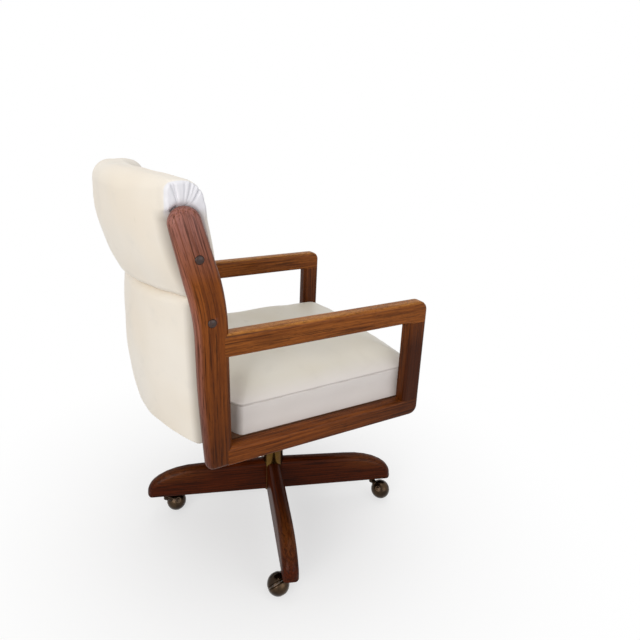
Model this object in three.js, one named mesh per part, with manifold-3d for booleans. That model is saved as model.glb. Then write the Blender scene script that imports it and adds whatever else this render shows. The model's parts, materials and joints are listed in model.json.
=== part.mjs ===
// A bankers swivel chair: an oak frame on each side, a barrel-curved vinyl back in two pads, a boxed seat
// cushion, and a tilting, screw-lifted seat on a four-legged oak base with ball casters.
// Millimetres, +Z up, the sitter faces -Y and the sitter's left hand is at +X. The floor is z = 0.

import * as THREE from 'three';
import { mergeVertices } from 'three/addons/utils/BufferGeometryUtils.js';
import Module from 'manifold-3d';

const wasm = await Module();
wasm.setup();

// Fits shared by all pieces
const seatGap = 0.3; // left between two pieces that meet
const softGap = 0.8; // left round upholstery
const overrun = 5; // how far a cutter runs past what it cuts
const weldDistance = 0.0005;

// Casters: a ball split by a slanted plane into a fixed hood and a rolling dome
const caster = {
  ballRadius: 26.5,
  trail: 27.5, // from the stem's axis to the ball's centre
  axleTilt: THREE.MathUtils.degToRad(35), // the rolling axis points this far below level
  halfSplit: 0.6,
  axleRadius: 3,
  axleReach: 14,
  collarRadius: 8.5,
  collarDepth: 17,
  stemRadius: 5.5,
  stemLength: 36,
  headings: [270, 97, 212, 150].map(THREE.MathUtils.degToRad), // where each ball lies from its stem, at rest
};
const socket = { wall: 1.9, flangeRadius: 12, flangeThickness: 1.5, depth: 38, endSpace: 3 };

// Base: four oak legs on a steel hub
const leg = {
  count: 4,
  firstAngle: THREE.MathUtils.degToRad(71.5),
  floorGap: 6.5, // between the ball and the leg's underside
  reach: 350,
  height: 91.5,
  shoulderDrop: 6, // fall of the top edge from the hub to the shoulder
  shoulderLength: 140,
  noseRadius: 11,
  thickness: 39,
  edgeRadius: 8,
  stemSetback: 50, // from the tip to the caster's stem
};
const hub = { radius: 28, wall: 3.5, rise: 36, drop: 1, bushLength: 30 };
const legBolt = { radius: 4, length: 48, headRadius: 7, headHeight: 5 };

// Column: thrust bearing, height nut, spindle
const bearing = { height: 4.6, radius: 26.5 };
const nut = { radius: 34, height: 20, lobes: 12, lobeDepth: 2.2, bevel: 2 };
const spindle = { radius: 14, length: 228, endChamfer: 2, exposed: 45, socketDepth: 30 };

// Tilt control between the spindle and the seat
const housing = { width: 90, front: 80, rear: 72, wall: 4, bossWall: 9, bossTop: 5, cornerRadius: 8 };
const tilt = {
  maximum: THREE.MathUtils.degToRad(15),
  slopeMargin: THREE.MathUtils.degToRad(1),
  pivotRise: 78, // above the housing's underside
  ironRise: 33.5, // from the pivot to the seat iron's underside
  pinRadius: 8,
  pinHead: 4,
  pinHeadRadius: 11,
};
const spring = { wireRadius: 3, turns: 6, pitch: 11, stepsPerTurn: 8, sides: 5 };
const knob = {
  setForward: 58, // from the spindle's axis
  radius: 18,
  height: 24,
  lobes: 6,
  lobeDepth: 1.6,
  bevel: 2,
  rodRadius: 5,
  rodRise: 46, // above the housing's underside
  gap: 4, // between the housing and the grip
};
const iron = {
  thickness: 5,
  barSetout: 58, // from the chair's middle to the middle of each bar
  barWidth: 28,
  plateHalfLength: 74,
  earThickness: 4,
  earHalfWidth: 20,
  earRadius: 17,
};
const plateScrew = { radius: 2.5, length: 32, headRadius: 5.5, headHeight: 3 };

// Side frames
const frame = {
  width: 545, // over both frames
  thickness: 34,
  railHeight: 43.3,
  openingHeight: 204.4,
  armHeight: 50.4,
  front: 266, // from the hub's axis to the front face
  postWidth: 48.5,
  cornerRadius: 22,
  edgeRadius: 8,
};
const upright = {
  width: 66,
  kneeWidth: 70, // where the bend ends
  topWidth: 59,
  footDrop: 11, // below the side rail
  footRadius: 16,
  topDrop: 63.3, // below the upper pad's top edge
  bendBack: 263.7, // from the hub's axis to the middle of the upright where the bend starts
  bendRise: 293, // from the side rail's underside to the start of the bend
  bendHeight: 110,
  lowerLean: THREE.MathUtils.degToRad(1.2),
  upperLean: THREE.MathUtils.degToRad(14.9),
  edgeRadius: 9,
};
const plug = { radius: 8.5, dome: 2.6, depth: 6 };
const backBolt = { radius: 3, headRadius: 7, headHeight: 4.5, bite: 10 };

// Seat
const crossRail = { thickness: 34, frontSetback: 6 };
const board = { thickness: 12 };
const cushion = {
  sideHeight: 70, // from the board to the top seam, at the rear
  frontRise: 6, // the seam climbs this much to the front
  crown: 56,
  crownFullness: 7, // 1 makes the crown a straight slope, and more makes its shoulders steeper
  frontOverhang: 3, // past the posts' front faces, at the corners
  frontBow: 12,
  cornerRadius: 34,
  sideDraw: 3, // how far the boxing draws in between its seams
  footInset: 9,
};
const boxingShares = [0.12, 0.5, 0.9]; // of the way up the cushion's side
const crownShares = [0.02, 0.06, 0.13, 0.24, 0.5, 0.78]; // of the way in from its edge to its middle

// Back: two pads, each on a bent board between the uprights
const lowerPad = {
  lift: 5.5, // above the side rails
  height: 315,
  frontReach: 21.5, // from the uprights' middle line forward to the pad's front, at its ends
  frontSwell: 0, // this much more at its top edge
  frontSag: 60, // the front lies this much further back in the middle
  rearEnd: 31, // from the uprights' middle line back to the pad's rear, at its ends
  rearCentre: 113, // the same in the middle
  rearLean: 8, // the ends' rear moves back this much up the pad
  rearSwell: 14, // the middle draws in this much at the top and the bottom
  edgeRadius: 8,
};
const upperPad = {
  height: 244.4,
  endDrop: 12, // the top edge falls this much to the ends
  frontReach: 32,
  frontSwell: 26,
  frontSag: 72,
  rearEnd: 25,
  rearCentre: 107,
  rearLean: 42,
  edgeRadius: 12,
};
const padJoint = 1; // between the two pads
const sectionPower = 3.2; // 2 makes a pad's section an ellipse, and more makes it squarer
const padStationShares = [1, 0.985, 0.94, 0.8, 0.6, 0.36, 0.12]; // of the half width, from the end inwards
const panel = { thickness: 15, inset: 30, sag: 66 };
const plugPlaces = {
  upper: { rise: 88.2, forward: 3.4 }, // above the lower pad's top edge, and ahead of the upright's middle
  lower: { rise: -37.8, forward: -1.8 },
};

// Heights, from the floor up
const legUnderside = 2 * caster.ballRadius + leg.floorGap;
const legTop = legUnderside + leg.height;
const hubTop = legTop + hub.rise;
const bearingBottom = hubTop + seatGap;
const nutBottom = bearingBottom + bearing.height + seatGap;
const nutTop = nutBottom + nut.height;
const housingBottom = nutTop + spindle.exposed;
const pivotHeight = housingBottom + tilt.pivotRise;
const ironBottom = pivotHeight + tilt.ironRise;
const ironTop = ironBottom + iron.thickness;
const railBottom = ironTop + seatGap;
const railTop = railBottom + frame.railHeight;
const armBottom = railTop + frame.openingHeight;
const armTop = armBottom + frame.armHeight;
const cushionBottom = railTop + softGap;
const lowerPadBottom = railTop + lowerPad.lift;
const lowerPadTop = lowerPadBottom + lowerPad.height;
const upperPadBottom = lowerPadTop + padJoint;
const upperPadTop = upperPadBottom + upperPad.height;
const uprightBottom = railBottom - upright.footDrop;
const uprightTop = upperPadTop - upright.topDrop;

// Round pieces that others fit
const hubBore = hub.radius - hub.wall;
const stemBore = caster.stemRadius + seatGap;
const socketRadius = stemBore + socket.wall;
const flangeTop = legUnderside - seatGap;
const collarTop = flangeTop - socket.flangeThickness - seatGap;
const headDepth = plug.depth + seatGap + backBolt.headHeight;

// Places across the chair
const frameInside = frame.width / 2 - frame.thickness;
const frameMiddle = frame.width / 2 - frame.thickness / 2;
const softHalfWidth = frameInside - softGap;
const stemCircle = leg.reach - leg.stemSetback;
const sides = { left: 1, right: -1 };

// Materials
const finish = (metalness) => (name, color, roughness) => {
  return new THREE.MeshStandardMaterial({ name, color, roughness, metalness });
};
const plain = finish(0);
const metal = finish(0.9);
const materials = {
  frameOak: plain('frame_oak', 0x7a4224, 0.4),
  legOak: plain('leg_oak', 0x46210f, 0.35),
  plugOak: plain('plug_oak', 0x3e1d10, 0.4),
  hiddenWood: plain('hidden_wood', 0xb08a5c, 0.7),
  vinyl: plain('vinyl', 0xe9e4d8, 0.5),
  bronze: metal('bronze', 0x3a3026, 0.3),
  brass: metal('brass', 0x7d6a34, 0.4),
  steel: metal('steel', 0x8b8d90, 0.4),
  blackSteel: metal('black_steel', 0x26272a, 0.5),
  nylon: plain('nylon', 0xd8d4c6, 0.6),
  blackPlastic: plain('black_plastic', 0x1d1d1f, 0.5),
};

// Geometry helpers

const xAxis = new THREE.Vector3(1, 0, 0);
const yAxis = new THREE.Vector3(0, 1, 0);
const zAxis = new THREE.Vector3(0, 0, 1);
// From a drawing plane into the chair: a side view drawn as (y, z), and a leg's side drawn as (radius, z).
const fromSideView = new THREE.Matrix4().makeBasis(yAxis, zAxis, xAxis);
const fromLegView = new THREE.Matrix4().makeBasis(xAxis, zAxis, yAxis.clone().negate());

// Welds a geometry's vertices, drops its collapsed triangles and turns its faces outward.
function weld(geometry) {
  const bare = geometry.clone();
  bare.deleteAttribute('normal');
  bare.deleteAttribute('uv');
  const welded = mergeVertices(bare, weldDistance);
  const index = welded.index.array;
  const position = welded.attributes.position;
  const corner = [new THREE.Vector3(), new THREE.Vector3(), new THREE.Vector3()];
  const kept = [];
  let volume = 0;
  for (let i = 0; i < index.length; i += 3) {
    const [a, b, c] = [index[i], index[i + 1], index[i + 2]];
    if (a === b || b === c || c === a) continue;
    kept.push(a, b, c);
    corner[0].fromBufferAttribute(position, a);
    corner[1].fromBufferAttribute(position, b);
    corner[2].fromBufferAttribute(position, c);
    volume += corner[0].dot(corner[1].cross(corner[2]));
  }
  if (volume < 0) kept.reverse();
  welded.setIndex(kept);
  return welded;
}

function solid(geometry) {
  const welded = weld(geometry);
  const vertProperties = new Float32Array(welded.attributes.position.array);
  const triVerts = new Uint32Array(welded.index.array);
  return new wasm.Manifold(new wasm.Mesh({ numProp: 3, vertProperties, triVerts }));
}

function geometryOf(shape) {
  const { vertProperties, triVerts } = shape.getMesh();
  const geometry = new THREE.BufferGeometry();
  geometry.setAttribute('position', new THREE.BufferAttribute(new Float32Array(vertProperties), 3));
  geometry.setIndex(new THREE.BufferAttribute(new Uint32Array(triVerts), 1));
  return geometry;
}

function cut(geometry, ...cutters) {
  return geometryOf(cutters.reduce((rest, cutter) => rest.subtract(solid(cutter)), solid(geometry)));
}

function join(geometry, ...others) {
  return geometryOf(others.reduce((sum, other) => sum.add(solid(other)), solid(geometry)));
}

function common(geometry, other) {
  return geometryOf(solid(geometry).intersect(solid(other)));
}

function box(low, high) {
  const size = high.map((value, axis) => value - low[axis]);
  const middle = high.map((value, axis) => (value + low[axis]) / 2);
  return new THREE.BoxGeometry(...size).translate(...middle);
}

// A round bar between two points. Round forms are welded before they are turned or moved, while both sides of
// their seam still agree.
function bar(radius, from, to, sideCount) {
  const start = new THREE.Vector3(...from);
  const run = new THREE.Vector3(...to).sub(start);
  const turn = new THREE.Quaternion().setFromUnitVectors(yAxis, run.clone().normalize());
  const cylinder = weld(new THREE.CylinderGeometry(radius, radius, run.length(), sideCount));
  return cylinder.translate(0, run.length() / 2, 0).applyQuaternion(turn).translate(...from);
}

// Revolves a profile of [radius, height] points about Z.
function turned(profile, sideCount) {
  const points = profile.map(([radius, height]) => new THREE.Vector2(radius, height));
  return weld(new THREE.LatheGeometry(points, sideCount)).rotateX(Math.PI / 2);
}

function ring(innerRadius, outerRadius, bottom, top, sideCount) {
  const start = [innerRadius, bottom];
  return turned([start, [outerRadius, bottom], [outerRadius, top], [innerRadius, top], start], sideCount);
}

// A headed fastener along +Z, with the underside of its head at z = 0.
function fastener({ radius, length, headRadius, headHeight }, sideCount = 8) {
  const tip = radius / 2;
  const head = [[0, -headHeight], [headRadius, -headHeight], [headRadius, 0]];
  const shank = [[radius, 0], [radius, length - tip], [tip, length], [0, length]];
  return turned([...head, ...shank], sideCount);
}

// A shape's outline and holes as straight steps, without the doubled points where its arcs meet.
function stepped(shape, curveSegments) {
  const distinct = (points) => points.filter((point, i) => {
    const next = points[(i + 1) % points.length];
    return point.distanceTo(next) > weldDistance;
  });
  const { shape: outline, holes } = shape.extractPoints(curveSegments);
  const result = new THREE.Shape(distinct(outline));
  result.holes = holes.map((hole) => new THREE.Path(distinct(hole)));
  return result;
}

// Extrudes a shape through its middle plane, with its long edges rounded.
function plank(shape, thickness, edgeRadius, curveSegments = 6, edgeSteps = 2) {
  const options = { depth: thickness, bevelEnabled: false };
  if (edgeRadius > 0) {
    options.depth = thickness - 2 * edgeRadius;
    options.bevelEnabled = true;
    options.bevelSize = edgeRadius;
    options.bevelThickness = edgeRadius;
    options.bevelOffset = -edgeRadius;
    options.bevelSegments = edgeSteps;
  }
  return new THREE.ExtrudeGeometry(stepped(shape, curveSegments), options).translate(0, 0, -options.depth / 2);
}

// Skins a row of closed rings of points and closes both ends with fans.
function loft(rings) {
  const count = rings[0].length;
  const points = rings.flat();
  const sumOf = (loop) => loop.reduce((sum, point) => sum.add(point), new THREE.Vector3());
  const middleOf = (loop) => sumOf(loop).divideScalar(count);
  points.push(middleOf(rings[0]), middleOf(rings[rings.length - 1]));
  const [firstMiddle, lastMiddle] = [points.length - 2, points.length - 1];
  const index = [];
  for (let k = 0; k < count; k += 1) {
    const next = (k + 1) % count;
    for (let r = 0; r + 1 < rings.length; r += 1) {
      const [near, far] = [r * count, (r + 1) * count];
      index.push(near + k, near + next, far + next, near + k, far + next, far + k);
    }
    const last = (rings.length - 1) * count;
    index.push(firstMiddle, next, k, lastMiddle, last + k, last + next);
  }
  const geometry = new THREE.BufferGeometry().setFromPoints(points);
  geometry.setIndex(index);
  return weld(geometry);
}

function lobedShape(radius, lobes, lobeDepth, stepsPerLobe) {
  const steps = lobes * stepsPerLobe;
  const points = Array.from({ length: steps }, (_, i) => {
    const angle = (2 * Math.PI * i) / steps;
    const r = radius - lobeDepth * (1 - Math.cos(lobes * angle)) / 2;
    return new THREE.Vector2(r * Math.cos(angle), r * Math.sin(angle));
  });
  return new THREE.Shape(points);
}

function roundedRectangle(left, bottom, right, top, radius) {
  const shape = new THREE.Shape();
  shape.moveTo(left + radius, bottom);
  shape.absarc(right - radius, bottom + radius, radius, -Math.PI / 2, 0);
  shape.absarc(right - radius, top - radius, radius, 0, Math.PI / 2);
  shape.absarc(left + radius, top - radius, radius, Math.PI / 2, Math.PI);
  shape.absarc(left + radius, bottom + radius, radius, Math.PI, 1.5 * Math.PI);
  return shape;
}

function piece(parent, name, geometry, material) {
  const mesh = new THREE.Mesh(weld(geometry), material);
  mesh.name = name;
  parent.add(mesh);
  return mesh;
}

// Base

const boltHeight = legUnderside + leg.height / 2;
const legAngle = (i) => leg.firstAngle + (i * 2 * Math.PI) / leg.count;

function hubTube() {
  const tube = ring(hubBore, hub.radius, legUnderside - hub.drop, hubTop, 28);
  const holes = Array.from({ length: leg.count }, (_, i) => {
    const far = hub.radius + overrun;
    const end = [far * Math.cos(legAngle(i)), far * Math.sin(legAngle(i)), boltHeight];
    return bar(legBolt.radius + seatGap, [0, 0, boltHeight], end, 8);
  });
  return cut(tube, ...holes);
}

// The leg lies along +X from the hub's axis, its underside at legUnderside.
function baseLeg() {
  const [tip, bottom, top] = [leg.reach, legUnderside, legTop];
  const shoulder = tip - leg.shoulderLength;
  const noseTop = bottom + leg.noseRadius;
  const shape = new THREE.Shape();
  shape.moveTo(0, bottom);
  shape.lineTo(tip - leg.noseRadius, bottom);
  shape.absarc(tip - leg.noseRadius, noseTop, leg.noseRadius, -Math.PI / 2, 0);
  shape.absellipse(shoulder, noseTop, leg.shoulderLength, top - leg.shoulderDrop - noseTop, 0, Math.PI / 2);
  shape.lineTo(0, top);
  const blank = plank(shape, leg.thickness, leg.edgeRadius, 6).applyMatrix4(fromLegView);
  const cope = bar(hub.radius + seatGap, [0, 0, bottom - overrun], [0, 0, top + overrun], 28);
  const boltEnd = [hub.radius + legBolt.length + seatGap, 0, boltHeight];
  const boltHole = bar(legBolt.radius + seatGap, [0, 0, boltHeight], boltEnd, 8);
  const socketTop = bottom + socket.depth + socket.endSpace;
  const socketStart = [stemCircle, 0, bottom - overrun];
  const socketHole = bar(socketRadius + seatGap, socketStart, [stemCircle, 0, socketTop], 12);
  return cut(blank, cope, boltHole, socketHole);
}

// Caster parts have the stem on the Z axis, and the ball trails towards +X.
function casterSocket() {
  const flangeBottom = flangeTop - socket.flangeThickness;
  const top = flangeTop + socket.depth;
  const profile = [
    [stemBore, flangeBottom], [socket.flangeRadius, flangeBottom], [socket.flangeRadius, flangeTop],
    [socketRadius, flangeTop], [socketRadius, top], [stemBore, top], [stemBore, flangeBottom],
  ];
  return turned(profile, 12);
}

// The ball's rolling axis, level part to +Y.
const rollAxis = new THREE.Vector3(0, Math.cos(caster.axleTilt), -Math.sin(caster.axleTilt));
const ballSides = 18;

function onRollAxis(geometry) {
  const turn = new THREE.Quaternion().setFromUnitVectors(zAxis, rollAxis);
  return geometry.applyQuaternion(turn).translate(caster.trail, 0, caster.ballRadius);
}

// Points on the ball's outline, from the split to the pole, on one side of the split.
function ballArc(side, radius = caster.ballRadius, steps = 6) {
  const start = Math.asin(caster.halfSplit / radius);
  return Array.from({ length: steps + 1 }, (_, i) => {
    const angle = start + ((Math.PI / 2 - start) * i) / steps;
    return [i === steps ? 0 : radius * Math.cos(angle), side * radius * Math.sin(angle)];
  });
}

function casterBall() {
  const bore = caster.axleRadius + seatGap;
  const boreEnd = caster.axleReach + seatGap;
  const profile = [[0, boreEnd], [bore, boreEnd], [bore, caster.halfSplit], ...ballArc(1)];
  return onRollAxis(turned(profile, ballSides));
}

function casterHood() {
  const { axleRadius, axleReach, halfSplit, ballRadius, trail } = caster;
  const profile = [[0, axleReach], [axleRadius, axleReach], [axleRadius, -halfSplit], ...ballArc(-1)];
  const hood = onRollAxis(turned(profile, ballSides));
  const clear = ballRadius + overrun;
  const wheelProfile = [[0, -halfSplit], [clear, -halfSplit], [clear, clear], [0, clear]];
  const wheelSpace = onRollAxis(turned(wheelProfile, ballSides));
  const collarBottom = collarTop - caster.collarDepth;
  const armHalfWidth = caster.collarRadius / 2;
  const armTop = collarTop - caster.collarDepth / 3;
  const collar = bar(caster.collarRadius, [0, 0, collarBottom], [0, 0, collarTop], 12);
  const arm = box([0, -armHalfWidth, ballRadius], [trail, armHalfWidth, armTop]);
  const stemStart = collarTop - caster.collarDepth / 2;
  const stem = bar(caster.stemRadius, [0, 0, stemStart], [0, 0, collarTop + caster.stemLength], 12);
  return join(hood, cut(join(collar, arm, stem), wheelSpace));
}

function buildBase(parent) {
  const bush = ring(spindle.radius + seatGap, hubBore - seatGap, hubTop - hub.bushLength, hubTop, 20);
  const boltSeat = Math.sqrt(hubBore ** 2 - legBolt.headRadius ** 2) - seatGap;
  piece(parent, 'base_hub', hubTube(), materials.brass);
  piece(parent, 'spindle_bush', bush, materials.nylon);
  for (let i = 0; i < leg.count; i += 1) {
    const arm = new THREE.Group();
    arm.rotation.z = legAngle(i);
    parent.add(arm);
    piece(arm, `base_leg_${i + 1}`, baseLeg(), materials.legOak);
    const bolt = piece(arm, `leg_bolt_${i + 1}`, fastener(legBolt), materials.steel);
    bolt.position.set(boltSeat, 0, boltHeight);
    bolt.rotation.y = Math.PI / 2;
    const stemPlace = new THREE.Group();
    stemPlace.position.x = stemCircle;
    arm.add(stemPlace);
    piece(stemPlace, `caster_socket_${i + 1}`, casterSocket(), materials.brass);
    const swivel = new THREE.Group();
    swivel.rotation.z = caster.headings[i] - arm.rotation.z;
    stemPlace.add(swivel);
    piece(swivel, `caster_hood_${i + 1}`, casterHood(), materials.bronze);
    piece(swivel, `caster_ball_${i + 1}`, casterBall(), materials.bronze);
  }
}

// Column

function heightNut() {
  const body = plank(lobedShape(nut.radius, nut.lobes, nut.lobeDepth, 3), nut.height, nut.bevel, 1, 1);
  const bore = bar(spindle.radius + seatGap, [0, 0, nutBottom - overrun], [0, 0, nutTop + overrun], 24);
  return cut(body.translate(0, 0, nutBottom + nut.height / 2), bore);
}

const spindleTop = housingBottom + spindle.socketDepth - seatGap;
const spindleBottom = spindleTop - spindle.length;

function spindleRod() {
  const { radius, endChamfer } = spindle;
  const profile = [
    [0, spindleBottom], [radius - endChamfer, spindleBottom], [radius, spindleBottom + endChamfer],
    [radius, spindleTop - endChamfer], [radius - endChamfer, spindleTop], [0, spindleTop],
  ];
  return turned(profile, 24);
}

// A pressed pan, open at the top. Its rear edge slopes so that the seat iron can tilt over it.
function tiltHousing() {
  const { front, rear, cornerRadius, bossWall } = housing;
  const top = ironBottom - seatGap;
  const rearTop = top - rear * Math.tan(tilt.maximum + tilt.slopeMargin);
  const cornerMiddle = housingBottom + cornerRadius;
  const side = new THREE.Shape();
  side.moveTo(-front + cornerRadius, housingBottom);
  side.absarc(rear - cornerRadius, cornerMiddle, cornerRadius, -Math.PI / 2, 0);
  side.lineTo(rear, rearTop);
  side.lineTo(0, top);
  side.lineTo(-front, top);
  side.absarc(-front + cornerRadius, cornerMiddle, cornerRadius, Math.PI, 1.5 * Math.PI);
  const block = plank(side, housing.width, 0, 4).applyMatrix4(fromSideView);
  const halfInside = housing.width / 2 - housing.wall;
  const inside = box(
    [-halfInside, -front + housing.wall, housingBottom + housing.wall],
    [halfInside, rear - housing.wall, top + overrun],
  );
  const below = housingBottom - overrun;
  const bore = spindle.radius + seatGap;
  const boreTop = housingBottom + spindle.socketDepth;
  const boss = bar(bore + bossWall, [0, 0, housingBottom], [0, 0, boreTop + housing.bossTop], 24);
  const spindleHole = bar(bore, [0, 0, below], [0, 0, boreTop], 24);
  const pinReach = housing.width / 2 + overrun;
  const pinHole = bar(tilt.pinRadius + seatGap, [-pinReach, 0, pivotHeight], [pinReach, 0, pivotHeight], 20);
  const rodHoleTop = housingBottom + housing.wall + overrun;
  const rodHole = bar(knob.rodRadius + seatGap, [0, 0, below], [0, 0, rodHoleTop], 16);
  rodHole.translate(0, -knob.setForward, 0);
  return cut(join(cut(block, inside), boss), spindleHole, pinHole, rodHole);
}

const earInside = housing.width / 2 + 2 * seatGap;
const earOutside = earInside + iron.earThickness;

function pivotPin() {
  const seat = earOutside + seatGap;
  const end = seat + tilt.pinHead;
  const { pinRadius, pinHeadRadius } = tilt;
  const firstHead = [[0, -end], [pinHeadRadius, -end], [pinHeadRadius, -seat], [pinRadius, -seat]];
  const lastHead = [[pinRadius, seat], [pinHeadRadius, seat], [pinHeadRadius, end], [0, end]];
  return turned([...firstHead, ...lastHead], 20).rotateY(Math.PI / 2).translate(0, 0, pivotHeight);
}

// A torsion coil that fits the pivot pin.
class Coil extends THREE.Curve {
  getPoint(t, target = new THREE.Vector3()) {
    const angle = 2 * Math.PI * spring.turns * t;
    const radius = (tilt.pinRadius + seatGap + spring.wireRadius) / Math.cos(Math.PI / spring.stepsPerTurn);
    const x = spring.pitch * spring.turns * (t - 1 / 2);
    return target.set(x, radius * Math.cos(angle), pivotHeight + radius * Math.sin(angle));
  }
}

// The least clear distance between points of the wire that are at least half a turn apart.
function leastCoilGap(points) {
  const apart = spring.stepsPerTurn / 2;
  const fromPoint = (point, i) => points.slice(i + apart).map((other) => point.distanceTo(other));
  const distances = points.flatMap(fromPoint);
  return Math.min(...distances) - 2 * spring.wireRadius;
}

function tensionSpring() {
  const wire = Array.from({ length: spring.sides }, (_, i) => {
    const angle = (2 * Math.PI * i) / spring.sides;
    return new THREE.Vector2(spring.wireRadius * Math.cos(angle), spring.wireRadius * Math.sin(angle));
  });
  const steps = spring.turns * spring.stepsPerTurn;
  const least = leastCoilGap(new Coil().getPoints(steps));
  console.log(`tension_spring: least gap between turns ${least.toFixed(2)} mm`);
  const options = { extrudePath: new Coil(), steps, bevelEnabled: false };
  return new THREE.ExtrudeGeometry(new THREE.Shape(wire), options);
}

function tensionKnob() {
  const middle = housingBottom - knob.gap - knob.height / 2;
  const grip = plank(lobedShape(knob.radius, knob.lobes, knob.lobeDepth, 4), knob.height, knob.bevel, 1, 1);
  const rod = bar(knob.rodRadius, [0, 0, middle], [0, 0, housingBottom + knob.rodRise], 16);
  return join(grip.translate(0, 0, middle), rod).translate(0, -knob.setForward, 0);
}

function buildColumn(parent) {
  const bearingTop = bearingBottom + bearing.height;
  const race = ring(spindle.radius + seatGap, bearing.radius, bearingBottom, bearingTop, 20);
  piece(parent, 'thrust_bearing', race, materials.steel);
  piece(parent, 'height_nut', heightNut(), materials.blackSteel);
  piece(parent, 'spindle', spindleRod(), materials.steel);
  piece(parent, 'tilt_housing', tiltHousing(), materials.blackSteel);
  piece(parent, 'pivot_pin', pivotPin(), materials.steel);
  piece(parent, 'tension_spring', tensionSpring(), materials.steel);
  piece(parent, 'tension_knob', tensionKnob(), materials.blackPlastic);
}

// Side frames

// The upright's middle line: nearly plumb, then a bend, then a straight lean. Gives [y, slope] at a height.
function uprightLine(height) {
  const bendStart = railBottom + upright.bendRise;
  const [low, high] = [Math.tan(upright.lowerLean), Math.tan(upright.upperLean)];
  const rise = height - bendStart;
  if (rise <= 0) return [upright.bendBack + low * rise, low];
  if (rise <= upright.bendHeight) {
    const gain = (high - low) / upright.bendHeight;
    return [upright.bendBack + low * rise + (gain * rise * rise) / 2, low + gain * rise];
  }
  const bendRun = ((low + high) * upright.bendHeight) / 2;
  return [upright.bendBack + bendRun + high * (rise - upright.bendHeight), high];
}

function uprightWidth(height) {
  const bendStart = railBottom + upright.bendRise;
  const bendEnd = bendStart + upright.bendHeight;
  const { clamp, lerp } = THREE.MathUtils;
  if (height < bendEnd) return lerp(upright.width, upright.kneeWidth, clamp((height - bendStart) / upright.bendHeight, 0, 1));
  return lerp(upright.kneeWidth, upright.topWidth, clamp((height - bendEnd) / (uprightTop - bendEnd), 0, 1));
}

function uprightFront(height) {
  const [y, slope] = uprightLine(height);
  return y - (uprightWidth(height) / 2) * Math.hypot(1, slope);
}

// The upright's outline as (y, z), grown by a margin all round.
function uprightShape(margin = 0) {
  const bendStart = railBottom + upright.bendRise;
  const endRadius = upright.topWidth / 2;
  const endHeight = uprightTop - endRadius;
  const bendSteps = 5;
  const bendStep = upright.bendHeight / bendSteps;
  const bendHeights = Array.from({ length: bendSteps + 1 }, (_, i) => bendStart + bendStep * i);
  const heights = [uprightBottom + upright.footRadius, ...bendHeights, endHeight];
  const edge = (side) => heights.map((height) => {
    const [y, slope] = uprightLine(height);
    const reach = (side * (uprightWidth(height) / 2 + margin)) / Math.hypot(1, slope);
    return new THREE.Vector2(y + reach, height - reach * slope);
  });
  const [frontEdge, rearEdge] = [edge(-1), edge(1)];
  const [endY, endSlope] = uprightLine(endHeight);
  const lean = Math.atan(endSlope);
  const foot = upright.footRadius + margin;
  const [frontFoot, rearFoot] = [frontEdge[0], rearEdge[0]];
  const shape = new THREE.Shape();
  shape.moveTo(frontFoot.x + foot, frontFoot.y - foot);
  shape.lineTo(rearFoot.x - foot, rearFoot.y - foot);
  shape.absarc(rearFoot.x - foot, rearFoot.y, foot, -Math.PI / 2, 0);
  rearEdge.forEach((point) => shape.lineTo(point.x, point.y));
  shape.absarc(endY, endHeight, uprightWidth(endHeight) / 2 + margin, -lean, Math.PI - lean);
  frontEdge.reverse().forEach((point) => shape.lineTo(point.x, point.y));
  shape.absarc(frontFoot.x + foot, frontFoot.y, foot, Math.PI, 1.5 * Math.PI);
  return shape;
}

// The plugs' places as [y, z] on the side of the upright.
function plugPlace({ rise, forward }) {
  const height = lowerPadTop + rise;
  return [uprightLine(height)[0] - forward, height];
}

// The counterbore for a plug and a bolt's head runs in from the outer face, and the bolt's hole through it.
function uprightPost(side) {
  const blank = plank(uprightShape(), frame.thickness, upright.edgeRadius, 6).applyMatrix4(fromSideView);
  const outside = frame.thickness / 2;
  const beyond = outside + overrun;
  const headSeat = outside - headDepth - seatGap;
  const holes = Object.values(plugPlaces).flatMap((place) => {
    const [y, z] = plugPlace(place);
    const counterbore = bar(plug.radius + seatGap, [side * beyond, y, z], [side * headSeat, y, z], 14);
    const hole = bar(backBolt.radius + seatGap, [side * outside, y, z], [-side * beyond, y, z], 8);
    return [counterbore, hole];
  });
  return cut(blank, ...holes);
}

// Armrest, post and side rail are cut from one closed frame, so that its rounded edges run on between them.
function frameParts() {
  const { front, postWidth, cornerRadius, edgeRadius, thickness } = frame;
  const rear = upright.bendBack + upright.width / 4;
  const holeRear = rear - 3 * edgeRadius;
  const outline = new THREE.Shape();
  outline.moveTo(rear, railBottom);
  outline.lineTo(rear, armTop);
  outline.absarc(-front + cornerRadius, armTop - cornerRadius, cornerRadius, Math.PI / 2, Math.PI);
  outline.absarc(-front + cornerRadius, railBottom + cornerRadius, cornerRadius, Math.PI, 1.5 * Math.PI);
  const hole = new THREE.Path();
  hole.moveTo(-front + postWidth, railTop);
  hole.lineTo(holeRear, railTop);
  hole.lineTo(holeRear, armBottom);
  hole.lineTo(-front + postWidth, armBottom);
  outline.holes.push(hole);
  const loop = plank(outline, thickness, edgeRadius, 5).applyMatrix4(fromSideView);
  const uprightSpace = plank(uprightShape(seatGap), thickness + 2 * overrun, 0, 6).applyMatrix4(fromSideView);
  const closed = cut(loop, uprightSpace);
  const half = thickness / 2 + overrun;
  const slab = (bottom, top, yEnd) => box([-half, -front - overrun, bottom], [half, yEnd, top]);
  return {
    armrest: common(closed, slab(armBottom, armTop + overrun, rear)),
    frontPost: common(closed, slab(railTop + seatGap, armBottom - seatGap, 0)),
    sideRail: common(closed, slab(railBottom - overrun, railTop, rear)),
  };
}

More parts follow.
